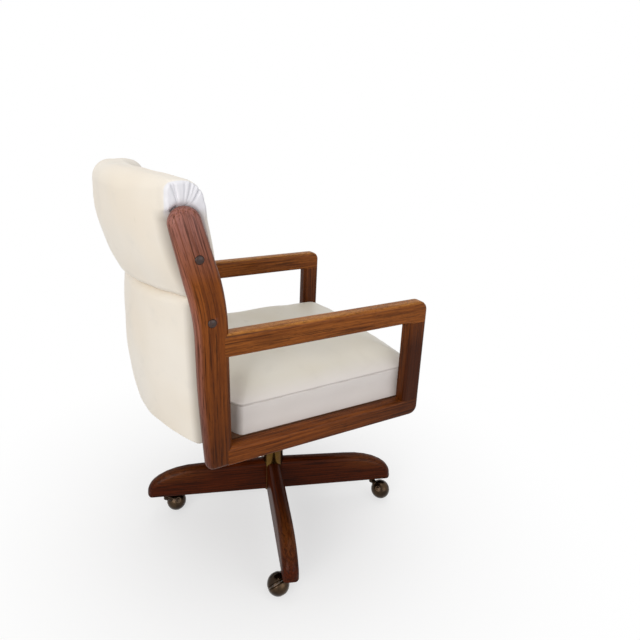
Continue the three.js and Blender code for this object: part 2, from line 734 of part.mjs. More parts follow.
function buildSideFrame(parent, sideName) {
  const side = sides[sideName];
  const group = new THREE.Group();
  group.position.x = side * frameMiddle;
  parent.add(group);
  const { armrest, frontPost, sideRail } = frameParts();
  piece(group, `armrest_${sideName}`, armrest, materials.frameOak);
  piece(group, `front_post_${sideName}`, frontPost, materials.frameOak);
  piece(group, `side_rail_${sideName}`, sideRail, materials.frameOak);
  piece(group, `rear_upright_${sideName}`, uprightPost(side), materials.frameOak);
  const outside = frame.thickness / 2;
  const domeSteps = 3;
  const dome = Array.from({ length: domeSteps + 1 }, (_, i) => {
    const angle = (Math.PI / 2) * (i / domeSteps);
    return [i === domeSteps ? 0 : plug.radius * Math.cos(angle), plug.dome * Math.sin(angle)];
  });
  for (const [level, place] of Object.entries(plugPlaces)) {
    const [y, z] = plugPlace(place);
    const profile = [[0, -plug.depth], [plug.radius, -plug.depth], ...dome];
    const button = piece(group, `wood_plug_${sideName}_${level}`, turned(profile, 14), materials.plugOak);
    button.position.set(side * outside, y, z);
    button.rotation.y = (side * Math.PI) / 2;
    const length = frame.thickness - headDepth + backBolt.bite;
    const boltShape = fastener({ ...backBolt, length });
    const bolt = piece(group, `back_bolt_${sideName}_${level}`, boltShape, materials.steel);
    bolt.position.set(side * (outside - headDepth), y, z);
    bolt.rotation.y = (-side * Math.PI) / 2;
  }
}

// Seat

const frontRailLow = -frame.front + crossRail.frontSetback;
const frontRail = { low: frontRailLow, high: frontRailLow + crossRail.thickness };
const rearRailHigh = uprightFront(railBottom) - seatGap;
const rearRail = { low: rearRailHigh - crossRail.thickness, high: rearRailHigh };
const woodHalfWidth = frameInside - seatGap;
const screwsIn = (rail) => [-1, 1].map((side) => [side * iron.barSetout, (rail.low + rail.high) / 2]);
const screwPlaces = [...screwsIn(frontRail), ...screwsIn(rearRail)];

function screwHole([x, y], bottom, top) {
  return bar(plateScrew.radius + seatGap, [x, y, bottom], [x, y, top], 8);
}

function crossRailBar(rail, height) {
  const blank = box([-woodHalfWidth, rail.low, railBottom], [woodHalfWidth, rail.high, railBottom + height]);
  const holeTop = ironBottom + plateScrew.length + seatGap;
  return cut(blank, ...screwsIn(rail).map((place) => screwHole(place, railBottom - overrun, holeTop)));
}

function seatIron() {
  const outline = new THREE.Shape();
  const [outer, inner] = [iron.barSetout + iron.barWidth / 2, iron.barSetout - iron.barWidth / 2];
  const [front, rear, mid] = [frontRail.low, rearRail.high, iron.plateHalfLength];
  const corners = [
    [outer, front], [outer, rear], [inner, rear], [inner, mid], [-inner, mid], [-inner, rear],
    [-outer, rear], [-outer, front], [-inner, front], [-inner, -mid], [inner, -mid], [inner, front],
  ];
  outline.setFromPoints(corners.map(([x, y]) => new THREE.Vector2(x, y)));
  const plate = plank(outline, iron.thickness, 0).translate(0, 0, ironBottom + iron.thickness / 2);
  const earShape = new THREE.Shape();
  const earTop = ironBottom + iron.thickness / 2;
  earShape.moveTo(-iron.earHalfWidth, earTop);
  earShape.lineTo(-iron.earRadius, pivotHeight);
  earShape.absarc(0, pivotHeight, iron.earRadius, Math.PI, 2 * Math.PI);
  earShape.lineTo(iron.earHalfWidth, earTop);
  const ear = plank(earShape, iron.earThickness, 0, 8).applyMatrix4(fromSideView);
  const ears = [-1, 1].map((side) => ear.clone().translate((side * (earInside + earOutside)) / 2, 0, 0));
  const reach = earOutside + overrun;
  const pinHole = bar(tilt.pinRadius + seatGap, [-reach, 0, pivotHeight], [reach, 0, pivotHeight], 20);
  const screwHoles = screwPlaces.map((place) => screwHole(place, ironBottom - overrun, ironTop + overrun));
  return cut(join(plate, ...ears), pinHole, ...screwHoles);
}

// A share of the width: 0 at the side frames, 1 in the middle.
const inwardShare = (x) => 1 - Math.min(1, (x / frameInside) ** 2);

const padFront = (pad, bottom) => (x, z) => {
  const downShare = 1 - (z - bottom) / pad.height;
  const reach = pad.frontReach + pad.frontSwell * (1 - downShare ** 2);
  return uprightLine(z)[0] - reach + pad.frontSag * inwardShare(x);
};
const lowerPadFront = padFront(lowerPad, lowerPadBottom);

function seatBoard() {
  const steps = 12;
  const outline = new THREE.Shape();
  const start = frontRail.high + seatGap;
  outline.moveTo(-woodHalfWidth, start);
  outline.lineTo(woodHalfWidth, start);
  for (let i = 0; i <= steps; i += 1) {
    const x = woodHalfWidth * (1 - (2 * i) / steps);
    outline.lineTo(x, lowerPadFront(x, railTop) - softGap);
  }
  return plank(outline, board.thickness, 0).translate(0, 0, railTop - board.thickness / 2);
}

const cushionSteps = 48;

// One loop of the cushion: the plan outline drawn in by an inset, bowed at the front and the rear.
function cushionLoop(inset, heightOf) {
  const front = -frame.front - cushion.frontOverhang + inset;
  const rear = lowerPadFront(frameInside, railTop) - softGap - inset;
  const half = softHalfWidth - inset;
  const radius = Math.max(cushion.cornerRadius - inset / 2, cushion.footInset);
  const outline = roundedRectangle(-half, front, half, rear, radius);
  const bow = (half / softHalfWidth) * (lowerPad.frontSag - softGap);
  const frontBow = (half / softHalfWidth) * cushion.frontBow;
  return outline.getSpacedPoints(cushionSteps).slice(0, cushionSteps).map(({ x, y }) => {
    const rearShare = (y - front) / (rear - front);
    const middle = inwardShare(x * (softHalfWidth / half));
    const bowed = y + middle * (rearShare * bow - (1 - rearShare) * frontBow);
    return new THREE.Vector3(x, bowed, heightOf(rearShare));
  });
}

function seatCushion() {
  const seam = (rearShare) => cushionBottom + cushion.sideHeight + cushion.frontRise * (1 - rearShare);
  const upBoxing = (share) => (rearShare) => THREE.MathUtils.lerp(cushionBottom, seam(rearShare), share);
  const boxingInsets = [cushion.footInset / 4, cushion.sideDraw, 0];
  const rings = [
    cushionLoop(cushion.footInset, () => cushionBottom),
    ...boxingShares.map((share, i) => cushionLoop(boxingInsets[i], upBoxing(share))),
    cushionLoop(cushion.sideDraw / 2, seam),
    ...crownShares.map((share) => {
      const lift = cushion.crown * (1 - (1 - share) ** cushion.crownFullness);
      return cushionLoop(share * softHalfWidth, (rearShare) => seam(rearShare) + lift);
    }),
  ];
  return loft(rings);
}

// Back

const padStations = [...padStationShares.map((share) => -share), ...[...padStationShares].reverse()];
const padSteps = 22;

// A pad is lofted from end to end: each section is a rounded block between a front and a rear curve.
function padSolid({ bottom, topAt, frontAt, rearAt, edgeRadius }) {
  const soften = (value) => Math.sign(value) * Math.abs(value) ** (2 / sectionPower);
  const rings = padStations.map((share) => {
    const x = share * softHalfWidth;
    const fromEnd = Math.min(edgeRadius, softHalfWidth - Math.abs(x));
    const inset = edgeRadius - Math.sqrt(edgeRadius ** 2 - (edgeRadius - fromEnd) ** 2);
    const [low, high] = [bottom + inset, topAt(x) - inset];
    return Array.from({ length: padSteps }, (_, k) => {
      const angle = (2 * Math.PI * k) / padSteps;
      const z = (low + high) / 2 + ((high - low) / 2) * soften(Math.sin(angle));
      const [front, rear] = [frontAt(x, z) + inset, rearAt(x, z) - inset];
      return new THREE.Vector3(x, (front + rear) / 2 + ((rear - front) / 2) * soften(Math.cos(angle)), z);
    });
  });
  return loft(rings);
}

const lowerPadForm = {
  bottom: lowerPadBottom,
  topAt: () => lowerPadTop,
  frontAt: lowerPadFront,
  rearAt: (x, z) => {
    const upShare = (z - lowerPadBottom) / lowerPad.height;
    const back = THREE.MathUtils.lerp(lowerPad.rearEnd, lowerPad.rearCentre, inwardShare(x));
    const lean = lowerPad.rearLean * upShare * (1 - inwardShare(x));
    const swell = lowerPad.rearSwell * inwardShare(x) * (2 * upShare - 1) ** 2;
    return uprightLine(railTop)[0] + back + lean - swell;
  },
  edgeRadius: lowerPad.edgeRadius,
};

const upperPadForm = {
  bottom: upperPadBottom,
  topAt: (x) => upperPadTop - upperPad.endDrop * (1 - inwardShare(x)),
  frontAt: padFront(upperPad, upperPadBottom),
  rearAt: (x, z) => {
    const downShare = (upperPadTop - z) / upperPad.height;
    const back = THREE.MathUtils.lerp(upperPad.rearEnd, upperPad.rearCentre, inwardShare(x));
    return uprightLine(uprightTop)[0] + back - upperPad.rearLean * downShare ** 2;
  },
  edgeRadius: upperPad.edgeRadius,
};

// How far a bent board's middle line lies behind its ends, which sit so that the bolts run into the middle of its
// thickness.
const panelSag = (x) => panel.sag * (1 - (x / frameInside) ** 2);
const panelEndSet = panelSag(frameInside - backBolt.bite) / 2;

// A bent board that keeps its place inside a pad and reaches both uprights.
function backPanel(form, place, margin) {
  const steps = 10;
  const heightSteps = 3;
  const low = form.bottom + panel.inset - margin;
  const high = form.topAt(frameInside) - panel.inset + margin;
  const half = margin > 0 ? frameInside + overrun : woodHalfWidth;
  const halfThickness = panel.thickness / 2 + margin;
  const heights = Array.from({ length: heightSteps + 1 }, (_, i) => low + ((high - low) * i) / heightSteps);
  const rings = Array.from({ length: steps + 1 }, (_, i) => {
    const x = half * ((2 * i) / steps - 1);
    const middleAt = (z) => uprightLine(z)[0] - place.forward - panelEndSet + panelSag(x);
    const front = heights.map((z) => new THREE.Vector3(x, middleAt(z) - halfThickness, z));
    const rear = heights.map((z) => new THREE.Vector3(x, middleAt(z) + halfThickness, z));
    return [...front, ...rear.reverse()];
  });
  return loft(rings);
}

function boltHoles(place) {
  const [y, z] = plugPlace(place);
  const inner = frameInside - backBolt.bite - 2 * seatGap;
  const outer = frameInside + overrun;
  return Object.values(sides).map((side) => {
    return bar(backBolt.radius + seatGap, [side * inner, y, z], [side * outer, y, z], 8);
  });
}

function buildBack(parent) {
  for (const [level, form] of Object.entries({ upper: upperPadForm, lower: lowerPadForm })) {
    const place = plugPlaces[level];
    const holes = boltHoles(place);
    const pad = cut(padSolid(form), backPanel(form, place, seatGap), ...holes);
    piece(parent, `${level}_back_pad`, pad, materials.vinyl);
    piece(parent, `${level}_back_panel`, cut(backPanel(form, place, 0), ...holes), materials.hiddenWood);
  }
}

function buildSeat(parent) {
  piece(parent, 'seat_iron', seatIron(), materials.blackSteel);
  screwPlaces.forEach(([x, y], i) => {
    const screw = piece(parent, `plate_screw_${i + 1}`, fastener(plateScrew), materials.steel);
    screw.position.set(x, y, ironBottom - seatGap);
  });
  const rearRailHeight = frame.railHeight - board.thickness - seatGap;
  piece(parent, 'front_cross_rail', crossRailBar(frontRail, frame.railHeight), materials.frameOak);
  piece(parent, 'rear_cross_rail', crossRailBar(rearRail, rearRailHeight), materials.frameOak);
  piece(parent, 'seat_board', seatBoard(), materials.hiddenWood);
  piece(parent, 'seat_cushion', seatCushion(), materials.vinyl);
  Object.keys(sides).forEach((sideName) => buildSideFrame(parent, sideName));
  buildBack(parent);
}

const chair = new THREE.Group();
chair.name = 'bankers_swivel_chair';
buildBase(chair);
buildColumn(chair);
buildSeat(chair);

// The origin is on the floor, in the middle of the chair's own length and width.
const middle = new THREE.Box3().setFromObject(chair).getCenter(new THREE.Vector3());
chair.position.set(-middle.x, -middle.y, 0);

export default chair;
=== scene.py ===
import json
import math
import bpy
import bmesh
import numpy as np
from mathutils import Matrix, Vector


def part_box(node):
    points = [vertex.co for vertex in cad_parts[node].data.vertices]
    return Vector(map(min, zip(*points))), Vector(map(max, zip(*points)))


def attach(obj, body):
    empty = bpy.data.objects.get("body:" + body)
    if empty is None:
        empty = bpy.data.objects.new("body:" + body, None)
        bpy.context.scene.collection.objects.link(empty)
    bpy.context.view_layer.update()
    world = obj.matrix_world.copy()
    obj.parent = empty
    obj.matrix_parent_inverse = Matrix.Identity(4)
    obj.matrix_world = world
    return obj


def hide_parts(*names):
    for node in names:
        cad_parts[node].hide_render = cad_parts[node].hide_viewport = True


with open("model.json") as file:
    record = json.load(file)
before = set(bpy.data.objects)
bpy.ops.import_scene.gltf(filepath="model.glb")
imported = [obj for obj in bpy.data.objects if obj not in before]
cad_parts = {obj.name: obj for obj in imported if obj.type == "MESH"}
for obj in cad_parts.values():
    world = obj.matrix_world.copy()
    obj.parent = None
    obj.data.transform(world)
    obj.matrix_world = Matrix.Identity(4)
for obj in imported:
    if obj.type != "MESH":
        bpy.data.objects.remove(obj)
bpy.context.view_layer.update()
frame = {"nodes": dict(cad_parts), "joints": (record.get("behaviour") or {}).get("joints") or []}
print("frame loaded,", len(frame["nodes"]), "nodes")

# Lengths in the dictionaries are millimetres where no note says otherwise, and mm turns them into metres.
mm = 0.001
up = (0, 0, 1)
joints = {joint["name"]: joint for joint in frame["joints"]}
hubPlace = Vector(joints["seat_swivel"]["pos_m"])
hubShift = np.array((hubPlace.x, hubPlace.y, 0))
sides = {"left": 1, "right": -1}  # the sitter's left hand is at +X
rng = np.random.default_rng(7)


def addToScene(name, data):
    holder = bpy.data.objects.new(name, data)
    bpy.context.scene.collection.objects.link(holder)
    return holder


# Camera, floor and light

photo = {
    "imageSize": 640,  # pixels, and so are focal and centre
    "focal": 528.2,
    "centre": (290.6, 280.5),
    "place": (-1160.2, 573.6, 1070.7),  # from the hub's axis
    "yaw": -27.92,  # degrees, and so are pitch and roll
    "pitch": -16.88,
    "roll": 1.54,
    "sensorWidth": 36,
    "clipStart": 10,
}


def setCamera():
    yaw, pitch, roll = (math.radians(photo[key]) for key in ("yaw", "pitch", "roll"))
    ahead = Vector((math.cos(yaw) * math.cos(pitch), math.sin(yaw) * math.cos(pitch), math.sin(pitch)))
    level = ahead.cross(Vector(up)).normalized()
    square = level.cross(ahead)
    right = math.cos(roll) * level + math.sin(roll) * square
    above = math.cos(roll) * square - math.sin(roll) * level
    camera = bpy.data.cameras.new("photoCamera")
    size = photo["imageSize"]
    camera.sensor_width = photo["sensorWidth"]
    camera.lens = camera.sensor_width * photo["focal"] / size
    camera.shift_x = (size / 2 - photo["centre"][0]) / size
    camera.shift_y = (photo["centre"][1] - size / 2) / size
    camera.clip_start = photo["clipStart"] * mm
    holder = addToScene("photoCamera", camera)
    x, y, z = photo["place"]
    place = Vector((x * mm + hubPlace.x, y * mm + hubPlace.y, z * mm))
    holder.matrix_world = Matrix.Translation(place) @ Matrix((right, above, -ahead)).transposed().to_4x4()
    bpy.context.scene.camera = holder


studio = {
    "floorSize": 30.0,  # metres, and so are the fade, the aim and the lamps' places and sizes
    "floorColour": (0.97, 0.97, 0.97),
    "floorBounce": (0.5, 0.5, 0.5),  # what the floor throws back on the chair
    "floorRoughness": 0.9,
    "floorFade": (0.12, 1.0),
    "floorGlow": 0.55,  # how white the floor is seen where its shading is strongest
    "worldStrength": 0.44,
    "aimHeight": 0.5,
    "lamps": {
        "windowLamp": {"place": (-2.2, 3.0, 1.7), "size": 2.6, "watts": 82, "colour": (1, 0.985, 0.96)},
        "ceilingLamp": {"place": (0.6, -0.4, 3.6), "size": 3.0, "watts": 34, "colour": (1, 1, 1)},
        "fillLamp": {"place": (-3.4, -1.2, 1.3), "size": 2.4, "watts": 31, "colour": (0.93, 0.95, 1)},
    },
}


# Shader wires

class Wire:
    # One output of a shader node. Sums and products of wires and numbers become Math nodes.
    def __init__(self, shader, node, output=0):
        self.shader = shader
        self.node = node
        self.socket = node.outputs[output]

    def out(self, name):
        return Wire(self.shader, self.node, name)

    def math(self, operation, first, second):
        return self.shader.node("Math", {"operation": operation}, {0: first, 1: second})

    def __add__(self, other):
        return self.math("ADD", self, other)

    def __sub__(self, other):
        return self.math("SUBTRACT", self, other)

    def __rsub__(self, other):
        return self.math("SUBTRACT", other, self)

    def __mul__(self, other):
        return self.math("MULTIPLY", self, other)

    __radd__, __rmul__ = __add__, __mul__


class Shader:
    # A material or a world whose nodes are added one call at a time.
    def __init__(self, owner, output="OutputMaterial"):
        owner.use_nodes = True
        self.owner = owner
        self.tree = owner.node_tree
        self.tree.nodes.clear()
        self.output = self.tree.nodes.new("ShaderNode" + output)

    def node(self, kind, settings=None, sockets=None):
        made = self.tree.nodes.new("ShaderNode" + kind)
        for key, value in (settings or {}).items():
            setattr(made, key, value)
        for key, value in (sockets or {}).items():
            if isinstance(value, Wire):
                self.tree.links.new(value.socket, made.inputs[key])
            elif isinstance(value, tuple) and len(value) == 3 and len(made.inputs[key].default_value) == 4:
                made.inputs[key].default_value = (*value, 1)
            else:
                made.inputs[key].default_value = value
        return Wire(self, made)

    def mix(self, factor, first, second):
        # sockets 6 and 7 take the colours, and output 2 gives the mixed one
        return self.node("Mix", {"data_type": "RGBA"}, {0: factor, 6: first, 7: second}).out(2)

    def span(self, value, low, high, toLow=0.0, toHigh=1.0):
        settings = {"interpolation_type": "SMOOTHSTEP"}
        return self.node("MapRange", settings, {0: value, 1: low, 2: high, 3: toLow, 4: toHigh})

    def vector(self, operation, *sockets):
        return self.node("VectorMath", {"operation": operation}, dict(enumerate(sockets)))

    def figure(self, place, scale, detail, window=None, roughness=0.5):
        # noise over a place; a window says where it sets in and where it is full
        if isinstance(scale, tuple):
            place, scale = self.vector("MULTIPLY", place, scale), 1.0
        sockets = {"Vector": place, "Scale": scale, "Detail": detail, "Roughness": roughness}
        noise = self.node("TexNoise", {}, sockets)
        return self.span(noise, *window) if window else noise

    def attribute(self, name, output="Fac"):
        return self.node("Attribute", {"attribute_name": name}).out(output)

    def bump(self, height, distance, strength, normal=None):
        sockets = {"Height": height, "Distance": distance * mm, "Strength": strength}
        if normal:
            sockets["Normal"] = normal
        return self.node("Bump", {}, sockets)

    def seen(self):
        # 1 for what the camera sees itself or by way of a shiny or clear surface
        path = self.node("LightPath")
        through = path.math("MAXIMUM", path.out("Is Glossy Ray"), path.out("Is Transmission Ray"))
        return path.math("MAXIMUM", path.out("Is Camera Ray"), through)

    def surface(self, sockets, kind="BsdfPrincipled"):
        shader = self.node(kind, {}, sockets)
        self.tree.links.new(shader.socket, self.output.inputs["Surface"])
        return self.owner


def colour(hexCode):
    # an sRGB colour such as "a86a3c" as linear numbers
    shares = [int(hexCode[i:i + 2], 16) / 255 for i in (0, 2, 4)]
    return tuple(s / 12.92 if s <= 0.04045 else ((s + 0.055) / 1.055) ** 2.4 for s in shares)


def floorMaterial():
    # a lit floor round the chair that runs out into plain white where it is seen
    shader = Shader(bpy.data.materials.new("floorPaint"))
    seen = shader.seen()
    away = shader.vector("LENGTH", shader.node("NewGeometry").out("Position")).out("Value")
    white = shader.span(away, *studio["floorFade"], studio["floorGlow"], 1.0) * seen
    tint = shader.mix(seen, studio["floorBounce"], studio["floorColour"])
    return shader.surface({
        "Base Color": shader.mix(white, tint, (0, 0, 0)),
        "Roughness": studio["floorRoughness"],
        "Specular IOR Level": 0.0,
        "Emission Color": shader.mix(white, (0, 0, 0), (1, 1, 1)),
        "Emission Strength": 1.0,
    })


def setStudio():
    half = studio["floorSize"] / 2
    mesh = bpy.data.meshes.new("floor")
    corners = [(-half, -half, 0), (half, -half, 0), (half, half, 0), (-half, half, 0)]
    mesh.from_pydata(corners, [], [(0, 1, 2, 3)])
    mesh.materials.append(floorMaterial())
    floor = addToScene("floor", mesh)
    sky = Shader(bpy.data.worlds.new("studioWorld"), "OutputWorld")
    dim = studio["worldStrength"]
    strength = sky.seen() * (1 - dim) + dim
    bpy.context.scene.world = sky.surface({"Color": (1, 1, 1), "Strength": strength}, "Background")
    for name, lamp in studio["lamps"].items():
        light = bpy.data.lights.new(name, "AREA")
        light.size = lamp["size"]
        light.energy = lamp["watts"]
        light.color = lamp["colour"]
        holder = addToScene(name, light)
        holder.location = lamp["place"]
        aim = Vector((0, 0, studio["aimHeight"])) - Vector(lamp["place"])
        holder.rotation_euler = aim.to_track_quat("-Z", "Y").to_euler()
    bpy.context.scene.view_settings.view_transform = "Standard"


setCamera()
setStudio()
print("camera and studio set")


# Materials

oakLooks = {
    "frameOak": {"light": "93501e", "dark": "4b1f08", "pore": "1d0902", "gold": "bb7f3c", "haze": "aa7771",
                 "ringSpacing": 7.0, "shine": 0.05, "coat": 0.1},
    "legOak": {"light": "521f07", "dark": "260b02", "pore": "0e0401", "gold": "8a5528", "haze": "5a3526",
               "ringSpacing": 6.0, "shine": 0.03, "coat": 0.08},
    "plugOak": {"light": "3a1c0e", "dark": "241009", "pore": "140805", "gold": "5a3320", "haze": "5a3a34",
                "ringSpacing": 4.0, "shine": 0.3, "coat": 0.3},
}
# each one's scale across, through and along the board, its detail, and its window and roughness
oakFigures = {
    "drift": ((30, 30, 4), 3.0),
    "fibre": ((560, 560, 22), 3.0, None, 0.65),
    "streaks": ((210, 210, 6), 3.0, (0.44, 0.64), 0.6),
    "lines": ((360, 360, 9), 2.0, (0.53, 0.66)),
    "pores": ((1300, 1300, 60), 1.0, (0.58, 0.7)),
    "smoke": ((26, 26, 8), 2.0, (0.55, 0.8)),
    "flecks": ((620, 620, 130), 2.0, (0.54, 0.64)),
}
oak = {
    "logMiddle": (0.035, 0.05, 0),  # metres from the board
    "logSpread": (0.01, 0.01, 3),  # metres that each piece may lie elsewhere in the log
    "logStretch": (1, 1, 0.04),
    "ringDrift": 13, "lateWood": (0.3, 1.0),
    # each figure's share of the colour, and what the wear with its painted light, the gold and the painted
    # sheen do to it
    "lateShare": 0.28, "fibreShare": 0.4, "streakShare": 0.5, "goldStreaks": 0.55, "paintedSheenStreaks": 0.55,
    "smokeShare": 0.4, "paintedShadeShare": 0.85, "lineShare": 0.62, "wornLines": 0.25, "poreShare": 0.5,
    "wornPores": 0.4, "fleckShare": 0.6,
    # how deep each lies in the surface
    "poreDepth": 0.7, "fibreDepth": 0.25, "lineDepth": 0.2, "bump": (0.25, 0.7),  # distance and strength
    "roughness": 0.34, "fibreRoughness": 0.12, "poreRoughness": 0.2, "coatRoughness": 0.16,
}


def oakMaterial(name):
    look = oakLooks[name]
    shader = Shader(bpy.data.materials.new(name))
    grain = shader.attribute("grain", "Vector")  # across, through and along the board, in metres
    # wear on the arms' tops and the legs' tips, with a painted lighter top and a painted sheen
    wear = shader.attribute("wear")
    tone = shader.attribute("tone")  # 1 where the painted shade is darkest
    haze = shader.attribute("haze")  # 1 where a sheen of reflected light is painted
    inLog = shader.vector("MULTIPLY", shader.vector("ADD", grain, oak["logMiddle"]), oak["logStretch"])
    drift, fibre, streaks, lines, pores, smoke, flecks = (
        shader.figure(grain, *oakFigures[key])
        for key in ("drift", "fibre", "streaks", "lines", "pores", "smoke", "flecks"))
    turns = shader.vector("LENGTH", inLog).out("Value") * (2 * math.pi / (look["ringSpacing"] * mm))
    turns = turns + drift * oak["ringDrift"]
    rings = shader.node("Math", {"operation": "SINE"}, {0: turns}) * 0.5 + 0.5
    lateWood = shader.span(rings, *oak["lateWood"])
    light, dark, pore, gold, sheenColour = (colour(look[key]) for key in ("light", "dark", "pore", "gold", "haze"))
    fine = fibre * oak["fibreShare"]
    wood = shader.mix(lateWood * oak["lateShare"] + fine, light, dark)
    wood = shader.mix(streaks * oak["streakShare"], wood, dark)
    wood = shader.mix(wear, wood, shader.mix(streaks * oak["goldStreaks"] + fine, gold, light))
    # painted sheen of reflected light, with the streaks showing through
    wood = shader.mix(haze * (1 - streaks * oak["paintedSheenStreaks"]), wood, sheenColour)
    # random smoky tone, and painted shade
    smokeAndPaintedShade = smoke * oak["smokeShare"] + tone * oak["paintedShadeShare"]
    wood = shader.mix(smokeAndPaintedShade, wood, shader.mix(0.5, dark, pore))
    wood = shader.mix(lines * (oak["lineShare"] - wear * oak["wornLines"]), wood, pore)
    wood = shader.mix(pores * (oak["poreShare"] + wear * oak["wornPores"]), wood, pore)
    wood = shader.mix(flecks * wear * oak["fleckShare"], wood, dark)
    height = 1 - pores * oak["poreDepth"] - fibre * oak["fibreDepth"] - lines * oak["lineDepth"]
    return shader.surface({
        "Base Color": wood,
        "Roughness": oak["roughness"] + fibre * oak["fibreRoughness"] + pores * oak["poreRoughness"],
        "Specular IOR Level": look["shine"],
        "Coat Weight": look["coat"],
        "Coat Roughness": oak["coatRoughness"],
        "Normal": shader.bump(height, *oak["bump"]),
    })


vinylLooks = {
    "vinyl": {"cream": "ece5da", "warm": "e8dbc8", "cool": "e3e3ea", "grey": "cfccc6", "stain": "b5aa8e"},
    "seatVinyl": {"cream": "d9d4c8", "warm": "d2c8b2", "cool": "dad2d2", "grey": "c3beb4", "stain": "aca289"},
}
vinyl = {
    "aged": (4.5, 2.0, (0.35, 0.75)),
    "handled": (19.0, 3.0, (0.55, 0.8)),
    "spots": ((34, 34, 16), 3.0, (0.7, 0.82)),
    "wavy": (55.0, 2.0),
    "agedShare": 0.6, "handledShare": 0.22, "spotShare": 0.3, "patchShare": 0.85,
    "paintedCreaseShadeColour": "6f6459",
    "cellScale": 620.0, "cellEdge": 0.22, "cellBump": (0.05, 0.5), "wavyBump": (0.35, 0.6),
    "roughness": 0.42, "handledRoughness": 0.1, "wavyRoughness": 0.06,
    "shine": 0.35, "coat": 0.08, "coatRoughness": 0.35,
}


def vinylMaterial(name):
    shader = Shader(bpy.data.materials.new(name))
    place = shader.node("TexCoord").out("Object")
    paintedCoolLight = shader.attribute("paintedCoolLight")  # 1 where cool light is painted, on the gathered end panels and the seat's boxing
    paintedCreaseShade = shader.attribute("paintedCreaseShade")  # painted shade, 1 deep in a seam and close beside the wood
    aged, handled, spots, wavy = (
        shader.figure(place, *vinyl[key]) for key in ("aged", "handled", "spots", "wavy"))
    look = {key: colour(value) for key, value in vinylLooks[name].items()}
    skin = shader.mix(aged * vinyl["agedShare"], look["cream"], look["warm"])
    skin = shader.mix(handled * vinyl["handledShare"], skin, look["grey"])
    skin = shader.mix(spots * vinyl["spotShare"], skin, look["stain"])
    # painted cool light
    skin = shader.mix(paintedCoolLight * vinyl["patchShare"], skin, look["cool"])
    # painted shade in seams and beside the wood
    skin = shader.mix(paintedCreaseShade, skin, colour(vinyl["paintedCreaseShadeColour"]))
    sockets = {"Vector": place, "Scale": vinyl["cellScale"]}
    cells = shader.node("TexVoronoi", {"feature": "DISTANCE_TO_EDGE"}, sockets)
    grained = shader.bump(shader.span(cells, 0.0, vinyl["cellEdge"]), *vinyl["cellBump"])
    return shader.surface({
        "Base Color": skin,
        "Roughness": vinyl["roughness"] + handled * vinyl["handledRoughness"] + wavy * vinyl["wavyRoughness"],
        "Specular IOR Level": vinyl["shine"],
        "Coat Weight": vinyl["coat"],
        "Coat Roughness": vinyl["coatRoughness"],
        "Normal": shader.bump(wavy, *vinyl["wavyBump"], grained),
    })


metalLooks = {
    "bronze": {"base": "33281f", "worn": "54422f", "metallic": 0.95, "roughness": 0.15, "patches": 40.0},
    "brass": {"base": "5c4220", "worn": "876a33", "metallic": 1.0, "roughness": 0.16, "patches": 24.0},
    "steel": {"base": "8f9194", "worn": "b3b5b7", "metallic": 0.95, "roughness": 0.32, "patches": 120.0},
    "blackSteel": {"base": "1f2022", "worn": "3a3a3c", "metallic": 0.25, "roughness": 0.45, "patches": 45.0},
}
metal = {
    "patchWindow": (0.4, 0.7), "patchShare": 0.6, "patchRoughness": 0.12,
    "scratchScale": (900, 260, 900), "scratchRoughness": 0.08, "bump": (0.03, 0.4),
}


def metalMaterial(name):
    look = metalLooks[name]
    shader = Shader(bpy.data.materials.new(name))
    place = shader.node("TexCoord").out("Object")
    patches = shader.figure(place, look["patches"], 3.0, metal["patchWindow"])
    scratches = shader.figure(place, metal["scratchScale"], 2.0)
    return shader.surface({
        "Base Color": shader.mix(patches * metal["patchShare"], colour(look["base"]), colour(look["worn"])),
        "Metallic": look["metallic"],
        "Roughness": (look["roughness"] + patches * metal["patchRoughness"]
                      + scratches * metal["scratchRoughness"]),
        "Normal": shader.bump(scratches, *metal["bump"]),
    })


plainLooks = {
    "nylon": {"base": "d2cdbd", "shade": "b9b4a4", "roughness": 0.5, "scale": (60, 60, 60)},
    "blackPlastic": {"base": "1c1c1e", "shade": "2b2b2d", "roughness": 0.48, "scale": (80, 80, 80)},
    "plywood": {"base": "6a4528", "shade": "4b2f1a", "roughness": 0.65, "scale": (12, 180, 700)},
}
plain = {"window": (0.3, 0.7), "mottleRoughness": 0.1, "bump": (0.1, 0.3)}


def plainMaterial(name):
    look = plainLooks[name]
    shader = Shader(bpy.data.materials.new(name))
    mottle = shader.figure(shader.node("TexCoord").out("Object"), look["scale"], 3.0)
    shaded = shader.span(mottle, *plain["window"])
    return shader.surface({
        "Base Color": shader.mix(shaded, colour(look["base"]), colour(look["shade"])),
        "Roughness": look["roughness"] + mottle * plain["mottleRoughness"],
        "Normal": shader.bump(mottle, *plain["bump"]),
    })


materials = {}
for looks, makeMaterial in ((oakLooks, oakMaterial), (metalLooks, metalMaterial), (plainLooks, plainMaterial),
                            (vinylLooks, vinylMaterial)):
    materials.update({name: makeMaterial(name) for name in looks})
print("materials made:", len(materials))


# Mesh helpers. All points are millimetres from the hub's axis, at the floor.

meshing = {
    "weld": 0.002,
    "sharpAngle": 38,
    "softSharpAngle": 70,
    "drillSides": 40,
    "lobeSides": 12,
    "bevelSteps": 6,
    "nearSteps": 7,
}


def nodeBox(node):
    return tuple((np.array(corner) - hubShift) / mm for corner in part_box(node))


def levels(node):
    return [corner[2] for corner in nodeBox(node)]


def ramp(values, start, full):
    # 0 up to the start and 1 from full on
    return np.clip((values - start) / (full - start), 0, 1)


